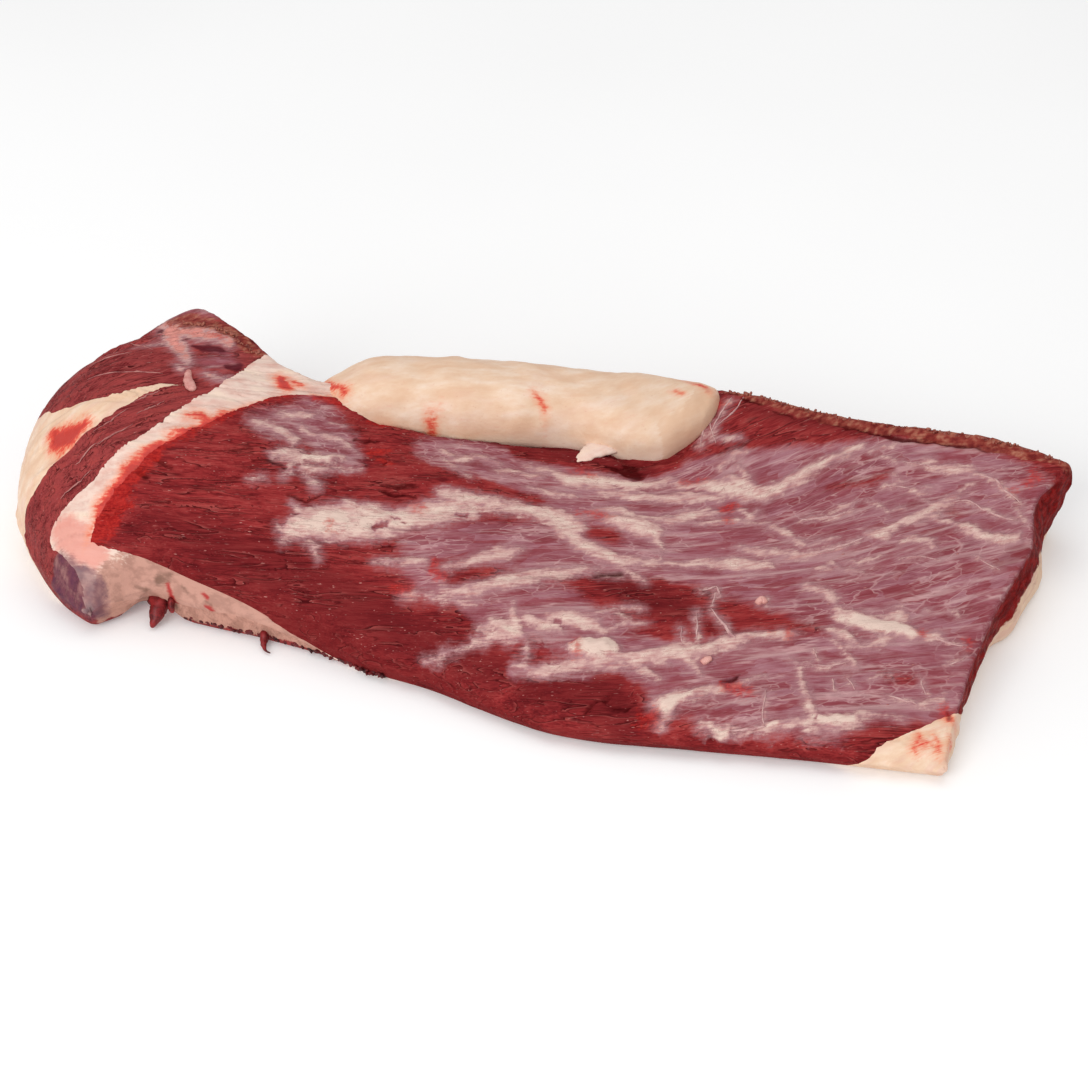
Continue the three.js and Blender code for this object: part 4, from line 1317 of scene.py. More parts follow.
# Painted light on the hard fat's lower front face.
FAT_LIT_LOW = linear(252, 226, 206)
FAT_ROSY = linear(222, 144, 130)
FAT_PIT = linear(206, 150, 128)
# Painted shade in the fat's gaps and dents.
FAT_GAP_SHADE = linear(108, 76, 60)
FAT_RED = linear(170, 24, 28)
HALO = linear(232, 146, 112)
STAIN_TONES = (0.0, linear(224, 92, 60)), (0.5, linear(210, 48, 36)), (1.0, linear(184, 26, 24))
POINT_LEAN = linear(148, 62, 62)
POINT_FAT = linear(226, 152, 140)
POINT_SOFT = linear(214, 140, 130)
TONGUE_FAT = linear(228, 202, 190)
# Tones from low to high for the small pieces.
SINEW = linear(176, 124, 126), linear(208, 168, 164)
BAND_SINEW = linear(152, 82, 82), linear(186, 124, 118)
FLECK_FAT = linear(158, 80, 76), linear(192, 126, 118)
# Dark torn scraps, darkened to also stand for the shadow under the near wall.
SCRAP_AND_SHADE = linear(46, 8, 12), linear(108, 24, 28)
CRUMB = linear(112, 42, 38), linear(168, 100, 82)
# Dark torn tags, darkened to also stand for the shadowy gap beside them.
TAG_AND_SHADE = linear(72, 10, 14), linear(140, 32, 34)
NUB = linear(194, 122, 116), linear(218, 162, 152)
# Moist lean hardly mirrors its surroundings here, so that grazing light doesn't grey it.
LEAN_GLOSS = 0.012
FAT_GLOSS = 0.3


def contour(f, value, half):
    """Thin wavering lines where a noise passes its middle: 1 on the line, 0 past half."""
    return f.between(f.maths("ABSOLUTE", f.maths("SUBTRACT", value, 0.5)), 0.0, half, 1.0, 0.0)


def weighted(f, *parts):
    """The sum of the (share, value) parts."""
    total = f.times(parts[0][1], parts[0][0])
    for share, value in parts[1:]:
        total = f.maths("MULTIPLY_ADD", value, share, total)
    return total


def edge_jitter(f):
    """Millimetres by which a stroke's edge wanders: half along the fibres, half any way."""
    streak = f.streaks(1.0, 7.5, 3, 0.6)
    speckle = f.streaks(5.0, 5.0, 4, 0.65)
    both = weighted(f, (6.5, f.maths("SUBTRACT", streak, 0.5)), (4.5, f.maths("SUBTRACT", speckle, 0.5)))
    return both, speckle


def lean_meat(f, lean, tone):
    """Bare lean: bundles with ledges, where one lies over the next, painted shade in the finer slits and under
    the ledges, a painted highlight on the crests, and flecks.
    """
    colour = f.ramp(tone, (0.38, LEAN_DARK_AND_SHADE), (0.50, lean), (0.62, LEAN_LIGHT))
    # Painted shade on the near slope, in dips and under the hard fat, and darker lean in the skin windows.
    colour = f.over(colour, LEAN_DARK_AND_SHADE, f.between(f.field("deep"), -5.0, 8.0), 0.65)
    bare = f.between(f.field("skin"), -2.0, 4.0, 1.0, 0.0)
    ledge = f.maths("FRACT", f.times(f.streaks(0.13, 1.1, 2, 0.4, 0.15), 9.0))
    broken = f.between(f.streaks(0.35, 1.5), 0.43, 0.57)
    line = f.times(f.between(ledge, 0.0, 0.2, 1.0, 0.0), broken)
    slit = f.times(contour(f, f.streaks(0.2, 3.2, bend=0.15), 0.036), broken)
    slit = f.maths("MAXIMUM", f.times(slit, 0.7), line)
    slit = f.times(slit, f.maths("MULTIPLY_ADD", bare, 0.8, 0.15))
    # Painted shade in the slits and under each ledge.
    colour = f.over(colour, SLIT_SHADE, slit, 0.9)
    crest = f.times(f.between(ledge, 0.72, 1.0), f.times(broken, bare))
    # Painted highlight on the lit crest of each ledge.
    colour = f.over(colour, CREST_HIGHLIGHT, crest, 0.32)
    scratch = f.between(f.streaks(1.6, 18, 1), 0.69, 0.78)
    flecks = f.maths("MAXIMUM", f.between(f.streaks(4.5, 12, 1), 0.73, 0.79), f.times(scratch, 0.6))
    return f.over(colour, FLECK, flecks, 0.55), slit, f.times(ledge, bare)


def silver_skin(f, colour, skin_tone, tone, jitter):
    """Silver skin over the lean: red and mauve windows in a web of pale lines."""
    skin = f.between(f.maths("ADD", f.field("skin"), jitter), -4.0, 6.0)
    wobble = f.stretch(f.streaks(1.2, 2.4), 0.9, 0.9, 0.9)
    bent = f.node("ShaderNodeVectorMath", (0, f.stretched_grain(0.8, 2.3)), (1, wobble), operation="ADD")
    cell = f.node("ShaderNodeTexVoronoi", ("Vector", bent), ("Scale", 1.0), out=1)
    cell_tone = f.node("ShaderNodeSeparateColor", (0, cell))
    window = f.maths("MULTIPLY_ADD", cell_tone, 0.16, f.times(tone, 0.84))
    skin_colour = f.ramp(window, (0.38, SKIN_RED), (0.50, skin_tone), (0.66, SKIN_PALE))
    haze = f.between(f.streaks(0.2, 2.3, 4, 0.6, 0.4), 0.49, 0.67)
    skin_colour = f.over(skin_colour, SKIN_HAZE, haze, 0.72)
    colour = f.over(colour, skin_colour, skin, 0.82)
    rim = f.node("ShaderNodeTexVoronoi", ("Vector", bent), ("Scale", 1.0), feature="DISTANCE_TO_EDGE")
    web = f.between(rim, 0.0, 0.07, 1.0, 0.0)
    lace = contour(f, f.streaks(0.2, 1.5, 3, 0.5, 0.4), 0.03)
    lace_fine = contour(f, f.streaks(0.4, 3.4), 0.035)
    faint = f.between(f.streaks(0.6, 1.0, 3), 0.42, 0.60)
    veined = f.between(f.streaks(0.3, 0.5, 1), 0.45, 0.6)
    lines = f.maths("MAXIMUM", f.times(lace, faint), f.times(web, f.times(veined, 0.8)))
    lines = f.maths("MAXIMUM", lines, f.times(lace_fine, f.times(faint, 0.3)))
    lines = f.times(lines, skin)
    return f.over(colour, SKIN_LINE, lines, 0.68), lines


def fat_on_lean(f, colour, fat, soft, jitter):
    """Fat on the lean: greyish streaks where it thins out, cream with fine cracks where it is thick."""
    edge = f.maths("ADD", f.field("fat"), jitter)
    colour = f.over(colour, FAT_GREY, f.between(edge, -4.5, 0.6), 0.42)
    patch = f.between(edge, -1.3, 1.9)
    thick = weighted(f, (1.0, edge), (13.0, f.maths("SUBTRACT", f.streaks(1.2, 2.0, 3, 0.6), 0.46)))
    stops = (0.0, FAT_GREY), (0.34, FAT_ROSE), (0.7, soft), (1.0, fat)
    fat_colour = f.ramp(f.between(thick, -0.5, 7.5), *stops)
    fat_colour = f.over(fat_colour, FAT_STRAND, f.between(f.streaks(1.4, 10), 0.50, 0.70), 0.5)
    crack = contour(f, f.streaks(1.8, 3.0, bend=1.2), 0.016)
    fat_colour = f.over(fat_colour, FAT_CRACK, f.times(crack, f.between(thick, 2.5, 5.5)), 0.55)
    fat_colour = f.over(fat_colour, fat, f.between(thick, 5.0, 8.5), 0.8)
    return f.over(colour, fat_colour, patch, 0.92), patch


def lean_finish(name, lean=LEAN_RED, skin_tone=SKIN_MAUVE, fat=FAT_WARM, soft=FAT_SOFT, gap=CLOT_AND_SHADE,
                tan=(WALL_FAT, WALL_SHADE)):
    """Moist lean meat, with silver skin, fat, dark gaps painted partly as shade, dried rim and blood over it,
    and painted shade on its walls.
    """
    f = Finish(name)
    fine = f.streaks(1.6, 17)
    bundle = f.streaks(0.42, 3.0, 3, bend=0.3)
    jitter, speckle = edge_jitter(f)
    tone = weighted(f, (0.34, fine), (0.36, bundle), (0.30, f.streaks(0.35, 0.7, 3)))
    colour, slit, ledge = lean_meat(f, lean, tone)
    colour, lines = silver_skin(f, colour, skin_tone, tone, jitter)
    colour, patch = fat_on_lean(f, colour, fat, soft, jitter)
    # Painted shade in the dark gaps and creases, partly dark clots.
    colour = f.over(colour, gap, f.ragged_field("dark", jitter, 0.3, -1.0, 1.0), 0.88)
    crust = f.ragged_field("crust", jitter, 0.8, -1.2, 1.2)
    colour = f.over(colour, f.ramp(f.streaks(2.6, 4, 4), *CRUST_TONES), crust, 0.82)
    stain = f.ragged_field("blood", jitter, 1.6, -2.6, 2.6)
    colour = f.over(colour, f.ramp(speckle, (0.38, BLOOD_DEEP), (0.62, BLOOD_BRIGHT)), stain, 0.68)
    wall = f.field("wall")
    # Painted shade: the cut walls darker than the top, and the flat end's wall darkest, as it faces away from
    # the lamps.
    colour = f.over(colour, WALL_LEAN_SHADE, f.between(wall, 0.5, 5.0), 0.4)
    colour = f.over(colour, f.ramp(bundle, *END_WALL_SHADE), f.between(wall, 6.5, 11.0), 0.85)
    colour = side_tints(f, colour, jitter, tan)
    f.shader.inputs["Specular IOR Level"].default_value = LEAN_GLOSS
    bump = weighted(f, (0.3, fine), (1.0, bundle), (0.4, patch), (-0.5, slit), (0.35, ledge), (0.25, lines))
    return f.surface(colour, f.between(fine, 0.3, 0.7, 0.38, 0.54), bump, 0.7, 0.0009)


def side_tints(f, colour, jitter, tan_colours):
    """The fat on the walls, or the warmer fat on the lump, and the purple skin over the knob."""
    grey = f.between(f.streaks(1.1, 1.5, 4, 0.6), 0.42, 0.62)
    tan_colour = f.mix(f.times(grey, 0.6), *tan_colours)
    colour = f.mix(f.ragged_field("tan", jitter, 0.7, -0.6, 1.2), colour, tan_colour)
    mauve = f.ragged_field("mauve", jitter, 0.5, -2.0, 1.5)
    return f.over(colour, f.ramp(f.streaks(0.9, 0.9, 3, 0.6), *KNOB_TONES), mauve, 0.85)


def fat_finish(name, base=CREAM, warm=CREAM_WARM, light=CREAM_LIGHT, rosy=0.5, tan=(WALL_FAT, WALL_SHADE),
               tan_share=1.0):
    """Smooth fat: cream with warm and rosy drifts, blood stains with orange haloes, painted light on the hard
    fat's lower face and painted shade in gaps and dents.
    """
    f = Finish(name)
    drift = f.streaks(0.6, 1.1, 4, 0.6)
    fine = f.streaks(3, 9, 3)
    colour = f.ramp(drift, (0.36, warm), (0.52, base), (0.70, light))
    colour = f.over(colour, FAT_BLUSH, f.between(f.streaks(0.35, 0.8, 3, bend=0.5), 0.48, 0.70), rosy)
    # Painted light on the hard fat's lower front face.
    colour = f.over(colour, FAT_LIT_LOW, f.between(f.field("pale"), 0.0, 14.0), 0.85)
    jitter, speckle = edge_jitter(f)
    colour = f.over(colour, FAT_ROSY, f.ragged_field("rosy", jitter, 0.8, 0.0, 5.0), 0.8)
    colour = f.over(colour, FAT_PIT, f.between(f.streaks(6, 9), 0.66, 0.74), 0.3)
    wet = f.maths("MULTIPLY_ADD", jitter, 0.9, f.field("blood"))
    colour = f.over(colour, HALO, f.between(wet, -5.0, 0.5), 0.55)
    stain_colour = f.ramp(f.between(wet, -0.5, 4.0), *STAIN_TONES)
    colour = f.over(colour, stain_colour, f.between(wet, -1.6, 1.6), 0.92)
    colour = f.mix(tan_share, colour, side_tints(f, colour, jitter, tan))
    # Painted shade in the gaps and in the dents of the near wall.
    colour = f.over(colour, FAT_GAP_SHADE, f.ragged_field("dark", jitter, 0.4, -1.5, 1.0), 0.75)
    colour = f.over(colour, FAT_RED, f.ragged_field("red", jitter, 0.4, -1.2, 0.8), 0.9)
    f.shader.inputs["Specular IOR Level"].default_value = FAT_GLOSS
    bump = weighted(f, (0.3, fine), (0.8, drift), (0.3, speckle))
    return f.surface(colour, f.between(fine, 0.3, 0.7, 0.42, 0.58), bump, 0.4, 0.0009)


def strand_finish(name, low, high):
    """Wet sinew or fat threads, paler on their crests."""
    f = Finish(name, grained=False)
    place = f.node("ShaderNodeTexCoord", out=3)
    speckle = f.noise(place, 1400.0, 2)
    tone = weighted(f, (0.7, f.noise(place, 260.0, 3)), (0.3, speckle))
    colour = f.ramp(tone, (0.38, low), (0.60, high))
    f.shader.inputs["Specular IOR Level"].default_value = FAT_GLOSS
    return f.surface(colour, f.between(speckle, 0.3, 0.7, 0.36, 0.55), tone, 0.4, 0.0004)


# ---- Threads, flecks, scraps and tags ----
# Threads of sinew and thin fat, as lines of (x, y, half-width) lying on the lean.
THREADS = [
    [(60, 104, 0.5), (58, 92, 0.7), (60, 78, 0.6), (61, 66, 0.3)],
    [(69, 104, 0.4), (66, 90, 0.5), (64, 76, 0.3)], [(75, 106, 0.3), (72, 94, 0.5), (66, 82, 0.3)],
    [(57, 96, 0.3), (62, 84, 0.5), (68, 70, 0.3)],
    [(91, -46, 0.4), (98, -53, 0.6), (104, -60, 0.7), (107, -64, 0.3)],
    [(85, -50, 0.3), (87, -58, 0.4), (89, -68, 0.5)], [(80, -62, 0.3), (83, -72, 0.5)],
    [(90, -31, 0.5), (93, -36, 0.6)], [(84, -36, 0.4), (90, -31, 0.5)], [(91, -36, 0.5), (91, -44, 0.3)],
    [(114, -112, 0.5), (122, -110, 0.6), (130, -107, 0.7)],
    [(126, -88, 0.3), (127, -100, 0.4), (129, -107, 0.6)],
    [(140, -68, 0.4), (148, -66, 0.5), (156, -63, 0.4), (160, -60, 0.3)],
    [(130, 3, 0.5), (138, 9, 0.7), (146, 15, 0.6), (152, 21, 0.4)],
    [(205, 22, 0.2), (212, 19, 0.3), (219, 15, 0.3)], [(171, 11, 0.3), (180, 14, 0.4), (190, 15, 0.3)],
    [(196, -36, 0.7), (203, -38, 0.7), (209, -38, 0.4)],
    [(203, -52, 0.4), (208, -48, 0.5), (211, -44, 0.3)], [(162, 78, 0.3), (170, 79, 0.4), (178, 79, 0.6)],
    [(200, 78, 0.5), (208, 76, 0.6), (213, 70, 0.8), (218, 66, 0.6), (222, 62, 0.4)],
    [(190, 58, 0.4), (198, 60, 0.5), (206, 55, 0.5), (214, 51, 0.6), (222, 50, 0.4)],
    [(155, 60, 0.4), (162, 62, 0.5), (168, 61, 0.4)],
    [(120, 26, 0.5), (128, 30, 0.7), (136, 34, 0.6), (144, 42, 0.4)],
    [(193, -62, 0.3), (195, -68, 0.4), (197, -71, 0.3)],
    [(180, -75, 0.4), (188, -76, 0.5), (194, -78, 0.4)], [(154, -72, 0.3), (156, -80, 0.4)],
    [(160, -70, 0.3), (165, -76, 0.4)], [(142, -58, 0.4), (145, -63, 0.5)],
]
# Pale lines along the point's band and lobe.
BAND_THREADS = [
    [(-201, -33, 0.3), (-204, -38, 0.4), (-210, -45, 0.4), (-214, -50, 0.2)],
    [(-212, -47, 0.2), (-218, -51, 0.35), (-224, -55, 0.2)],
    [(-214, -58, 0.25), (-222, -63, 0.4), (-227, -68, 0.2)],
    [(-196, -8, 0.3), (-201, -14, 0.4), (-206, -20, 0.3)],
    [(-192, -14, 0.2), (-197, -21, 0.35), (-201, -28, 0.2)],
    [(-206, -26, 0.2), (-212, -34, 0.35), (-219, -42, 0.2)],
    [(-216, -2, 0.25), (-226, -4, 0.35), (-236, -7, 0.2)],
    [(-200, 4, 0.25), (-212, 0, 0.4), (-220, -3, 0.2)],
    [(-222, 18, 0.25), (-232, 13, 0.35), (-242, 8, 0.2)],
    [(-212, 22, 0.2), (-222, 26, 0.35), (-231, 29, 0.2)],
]
# Lobes: each is a line of (x, y, z, half-width, half-height); the nubs' z counts from the lean.
DRIP = [
    (-192, 17, 79.6, 1.8, 1.0), (-189, 10, 80.3, 1.7, 1.2), (-187, 5, 80.2, 2.4, 1.5),
    (-184, 0, 79.8, 2.6, 1.5), (-181, -2, 79, 2.0, 1.1),
]
TONGUE = [
    (15, 57, 43, 8.5, 2.4), (12, 51, 43.4, 7.5, 2.2), (9, 45, 43.4, 5.4, 1.7), (6, 40, 42.8, 3.4, 1.1),
    (3, 35, 42.2, 1.4, 0.5),
]
NUBS = [
    [(94, -79, -0.8, 1.6, 1.4), (96, -77, 0.4, 2.2, 1.6), (98, -76, 0.8, 1.2, 0.9)],
    [(111, -37, -0.6, 1.6, 1.2), (113, -34, 0.4, 2.0, 1.5), (115, -36, 0.2, 1.2, 0.9)],
]
TAGS = [
    [(-174, -78, 12, 6.4, 4.4), (-173.5, -84, 9, 5.2, 4.2), (-173.5, -89, 5.4, 3.2, 3.0),
     (-174, -92.5, 2.8, 1.7, 1.7), (-174, -94, 1.2, 0.6, 0.7)],
    [(-118, -86, 5, 2.4, 2.8), (-118, -90, 3.4, 2.2, 2.4), (-117, -93, 2.2, 1.6, 1.6),
     (-115, -96, 1.4, 0.7, 0.7), (-112, -97, 1.0, 0.4, 0.4)],
    [(-167, -84, 14, 1.6, 2.4), (-166, -87, 11, 1.8, 2.6), (-165, -88, 8, 1.2, 1.8)],
]
SCRAP_PATH = [
    (-160, -83, 3.4), (-146, -84.8, 3.4), (-130, -85.8, 3), (-114, -87.3, 2.8), (-98, -89.3, 2.6),
    (-84, -92.3, 2.6), (-72, -95.8, 2.6), (-62, -99.3, 2.6), (-54, -101.3, 2.6),
]
RIM_PATH = [
    (66, 107), (80, 108.5), (98, 107), (115, 105.5), (132, 105), (150, 104.5), (168, 104.5), (186, 104.5),
    (202, 103), (216, 102), (230, 97.5), (240, 93),
]
KNUCKLE_PATH = [(-209, 50), (-203, 51), (-196, 51), (-188, 50), (-180, 48), (-172, 45), (-164, 42)]


THREAD_STEP = 0.9
THREAD_SWAY = 0.35
THREAD_SINK = 0.45
PATH_STEPS = 120
LOBE_RINGS = 26
LOBE_AROUND = 16
CRUMB_SINK = 0.5


def surface_at(x, y):
    """The height of the lean side over plan points, relief and all."""
    middle = np.full(np.shape(x), 0.5)
    return lean_under(x, y) + relief(x, y, middle, middle)


def on_lean(spine):
    """A lobe's line with its heights counted from the lean."""
    line = np.array(spine, float)
    line[:, 2] += surface_at(line[:, 0], line[:, 1])
    return line


def new_curve(name):
    curve = bpy.data.curves.new(name, "CURVE")
    curve.dimensions = "3D"
    return curve


def add_line(curve, points):
    """A straight-stepped line through plan points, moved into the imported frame's metres."""
    spline = curve.splines.new("POLY")
    spline.points.add(len(points) - 1)
    placed = (points + [*PLAN_SHIFT, 0]) * MM
    spline.points.foreach_set("co", np.column_stack([placed, np.ones(len(points))]).ravel())
    return spline


def threads_on_lean(name, lines, sink):
    """A curve with one line of points for each thread, sunk a share of its radius into the lean."""
    curve = new_curve(name)
    for line in lines:
        points = np.array(line, float)
        length = np.hypot(*np.diff(points[:, :2], axis=0).T).sum()
        fine = through(points, np.linspace(0, 1, max(6, int(length / THREAD_STEP))))
        sway = np.stack([noise(fine[:, :2] / 4, 81, 2), noise(fine[:, :2] / 4, 82, 2)], -1)
        fine[:, :2] += THREAD_SWAY * sway
        height = surface_at(fine[:, 0], fine[:, 1])
        taper = np.sin(np.pi * np.linspace(0.04, 0.96, len(fine))) ** 0.5
        radius = fine[:, 2] * taper * (1 + 0.25 * noise(fine[:, :2] / 2.5, 83, 1))
        spline = add_line(curve, np.column_stack([fine[:, :2], height - sink * radius]))
        spline.points.foreach_set("radius", radius * MM)
    return curve


def path_curve(name, points):
    """A curve through plan points with heights."""
    curve = new_curve(name)
    add_line(curve, through(points, np.linspace(0, 1, PATH_STEPS)))
    return curve


class Rule(Tree):
    """One Geometry Nodes tree, with its sizes as named inputs."""

    def __init__(self, name, **sizes):
        self.tree = bpy.data.node_groups.new(name, "GeometryNodeTree")
        face = self.tree.interface
        face.new_socket("Geometry", in_out="INPUT", socket_type="NodeSocketGeometry")
        for label, value in sizes.items():
            kind = "NodeSocketInt" if isinstance(value, int) else "NodeSocketFloat"
            face.new_socket(label, in_out="INPUT", socket_type=kind).default_value = value
        face.new_socket("Geometry", in_out="OUTPUT", socket_type="NodeSocketGeometry")
        self.inputs = self.tree.nodes.new("NodeGroupInput").outputs
        self.output = self.tree.nodes.new("NodeGroupOutput")

    def vector(self, operation, a, b):
        """Vector maths; for SCALE, b is a number."""
        return self.node("ShaderNodeVectorMath", (0, a), ("Scale" if operation == "SCALE" else 1, b),
                         operation=operation)

    def multiplied(self, a, b):
        return self.node("ShaderNodeMath", (0, a), (1, b), operation="MULTIPLY")

    def scattered(self, low, high, seed):
        """A random vector, the same on each run."""
        return self.node("FunctionNodeRandomValue", (0, low), (1, high), ("Seed", seed),
                         data_type="FLOAT_VECTOR")

    def instances(self, points, shape, turn, size):
        """The shape laid at each point, turned and stretched."""
        return self.node("GeometryNodeInstanceOnPoints", ("Points", points), ("Instance", shape),
                         ("Rotation", turn), ("Scale", size))

    def close(self, geometry, material):
        """Ends the tree: real geometry, smooth, with its material."""
        real = self.node("GeometryNodeRealizeInstances", (0, geometry))
        smooth = self.node("GeometryNodeSetShadeSmooth", (0, real), ("Shade Smooth", True))
        done = self.node("GeometryNodeSetMaterial", (0, smooth))
        done.node.inputs["Material"].default_value = material
        self.tree.links.new(done, self.output.inputs[0])
        return self


def made_by(rule, name, base, material, **sizes):
    """A plain mesh piece, made by a tree from a curve or a mesh."""
    holder = bpy.data.objects.new(name + "_base", base)
    bpy.context.scene.collection.objects.link(holder)
    modifier = holder.modifiers.new(name, "NODES")
    modifier.node_group = rule.tree
    for item in rule.tree.interface.items_tree:
        if item.in_out == "INPUT" and item.name in sizes:
            modifier[item.identifier] = sizes[item.name]
    bpy.context.view_layer.update()
    mesh = bpy.data.meshes.new_from_object(holder.evaluated_get(bpy.context.evaluated_depsgraph_get()))
    holder.modifiers.clear()
    bpy.data.objects.remove(holder)
    if not mesh.polygons:
        raise RuntimeError(f"{name} came out empty")
    piece = bpy.data.objects.new(name, mesh)
    bpy.context.scene.collection.objects.link(piece)
    if not mesh.materials:
        mesh.materials.append(material)
    return piece


def thread_rule(material):
    """Round threads along lines, thick as each point's radius says."""
    rule = Rule("threads", Thickness=1.0, Sides=6)
    sides = rule.inputs["Sides"]
    ring = rule.node("GeometryNodeCurvePrimitiveCircle", ("Resolution", sides), ("Radius", 1.0))
    thick = rule.multiplied(rule.node("GeometryNodeInputRadius"), rule.inputs["Thickness"])
    thread = rule.node("GeometryNodeCurveToMesh", (0, rule.inputs[0]), ("Profile Curve", ring),
                       ("Scale", thick), ("Fill Caps", True))
    return rule.close(thread, material)


def fleck_rule(material):
    """Flecks of fat strewn over the lean, long side along the fibres."""
    rule = Rule("flecks", Density=20000.0, Length=0.0018, Width=0.0006, Seed=3)
    share = rule.node("GeometryNodeInputNamedAttribute", ("Name", "strewn"), data_type="FLOAT")
    density = rule.multiplied(share, rule.inputs["Density"])
    strewn = rule.node("GeometryNodeDistributePointsOnFaces", ("Mesh", rule.inputs[0]), ("Density", density),
                       ("Seed", rule.inputs["Seed"]), distribute_method="RANDOM")
    normal = strewn.node.outputs["Normal"]
    upright = rule.node("FunctionNodeAlignRotationToVector", ("Vector", normal), axis="Z")
    fibre = rule.node("GeometryNodeInputNamedAttribute", ("Name", "fibre"), data_type="FLOAT_VECTOR")
    lying = rule.node("FunctionNodeAlignRotationToVector", ("Rotation", upright), ("Vector", fibre), axis="X",
                      pivot_axis="Z")
    bead = rule.node("GeometryNodeMeshIcoSphere", ("Radius", 0.5), ("Subdivisions", 1))
    length, width = rule.inputs["Length"], rule.inputs["Width"]
    size = rule.node("ShaderNodeCombineXYZ", (0, length), (1, width), (2, width))
    varied = rule.vector("MULTIPLY", size, rule.scattered((0.4, 0.5, 0.4), (1.6, 1.4, 0.7), 5))
    return rule.close(rule.instances(strewn, bead, lying, varied), material)


def scrap_rule(material):
    """Ragged bits along a path, each turned and stretched its own way."""
    rule = Rule("scraps", Spacing=0.0016, Size=0.0024, Scatter=0.0015, Ruggedness=0.0012, Seed=4)
    points = rule.node("GeometryNodeCurveToPoints", (0, rule.inputs[0]), ("Length", rule.inputs["Spacing"]),
                       mode="LENGTH")
    off = rule.scattered((-1, -1, -0.8), (1, 1, 0.8), rule.inputs["Seed"])
    off = rule.vector("SCALE", off, rule.inputs["Scatter"])
    strewn = rule.node("GeometryNodeSetPosition", (0, points), ("Offset", off))
    bead = rule.node("GeometryNodeMeshIcoSphere", ("Radius", 0.5), ("Subdivisions", 2))
    turn = rule.scattered((-0.5, -0.5, -3.1), (0.5, 0.5, 3.1), 6)
    size = rule.vector("SCALE", rule.scattered((0.6, 0.5, 0.5), (2.0, 1.1, 1.2), 7), rule.inputs["Size"])
    real = rule.node("GeometryNodeRealizeInstances", (0, rule.instances(strewn, bead, turn, size)))
    rough = rule.node("ShaderNodeTexNoise", ("Vector", rule.node("GeometryNodeInputPosition")),
                      ("Scale", 700.0), ("Detail", 2.0), out=1)
    push = rule.vector("SUBTRACT", rough, (0.5, 0.5, 0.5))
    push = rule.vector("SCALE", push, rule.inputs["Ruggedness"])
    return rule.close(rule.node("GeometryNodeSetPosition", (0, real), ("Offset", push)), material)


def lobe(name, spine, wobble=0.3):
    """A closed lobe along a line of (x, y, z, half-width, half-height), rounded at both ends."""
    share = np.linspace(0, 1, LOBE_RINGS)
    line = through(spine, share)
    centre = line[:, :3]
    ahead = np.gradient(centre, axis=0)
    ahead /= np.linalg.norm(ahead, axis=1, keepdims=True)
    side = np.cross(ahead, [0, 0, 1.0])
    side /= np.linalg.norm(side, axis=1, keepdims=True) + 1e-9
    up = np.cross(side, ahead)
    close = roll(np.minimum(share, 1 - share), 0.12, 0.02)[:, None, None]
    angle = np.linspace(0, 2 * np.pi, LOBE_AROUND, endpoint=False)[None, :, None]
    body = (centre[:, None] + close * line[:, 3, None, None] * np.cos(angle) * side[:, None]
            + close * line[:, 4, None, None] * np.sin(angle) * up[:, None])
    body = body + wobble * noise(body / 3, 91, 2)[..., None] * (body - centre[:, None]) * 0.6
    body[..., 2] = np.maximum(body[..., 2], 0.2)
    return tube(name, body[0].mean(0), body, body[-1].mean(0))


def joined(name, pieces):
    """One object made of several."""
    with bpy.context.temp_override(active_object=pieces[0], selected_editable_objects=pieces):
        bpy.ops.object.join()
    pieces[0].name = name
    return pieces[0]


def outward(piece):
    """Turns all faces to point out of a closed piece."""
    work = bmesh.new()
    work.from_mesh(piece.data)
    bmesh.ops.recalc_face_normals(work, faces=work.faces)
    work.to_mesh(piece.data)
    work.free()
    return piece


def trim(piece, material):
    """Finishes a small piece that rides on the meat: the finish given, smooth faces, and the root body."""
    piece.data.materials.clear()
    piece.data.materials.append(material)
    piece.data.shade_smooth()
    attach(piece, "root")
    return piece


def settle(piece, material, node):
    """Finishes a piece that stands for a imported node: its material, and smooth faces with crisp cut edges."""
    mesh = piece.data
    mesh.materials.clear()
    mesh.materials.append(material)
    mesh.shade_smooth()
    mesh.set_sharp_from_angle(angle=SHARP_ANGLE)
    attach(piece, "root")
    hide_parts(node)
    return piece


# ---- The add-on ----

def length_of(name, description, default, least, most):
    return bpy.props.FloatProperty(name=name, description=description, default=default, min=least, max=most,
                                   unit="LENGTH", precision=4)


def colour_of(name, description, default):
    return bpy.props.FloatVectorProperty(name=name, description=description, default=default, size=4, min=0,
                                         max=1, subtype="COLOR")


class BrisketSizes(bpy.types.PropertyGroup):
    """Sizes of the small pieces"""
    thread_thickness: bpy.props.FloatProperty(
        name="Thread thickness", description="Thickness of the threads of sinew, as a share of the drawn one",
        default=1.0, min=0.2, max=3)
    fleck_length: length_of("Fleck length", "Length of a fleck of fat in the lean", 0.0015, 0.0005, 0.006)
    fleck_width: length_of("Fleck width", "Width of a fleck of fat in the lean", 0.0005, 0.0002, 0.003)
    fleck_density: bpy.props.FloatProperty(
        name="Flecks", description="Flecks on a square metre of bare lean", default=5200, min=0, max=90000)
    scrap_size: length_of("Scrap size", "Width of the scraps along the near lower edge", 0.0026, 0.001, 0.01)
    crumb_size: length_of("Crumb size", "Width of the dried crumbs along the far rim", 0.0015, 0.0005, 0.005)


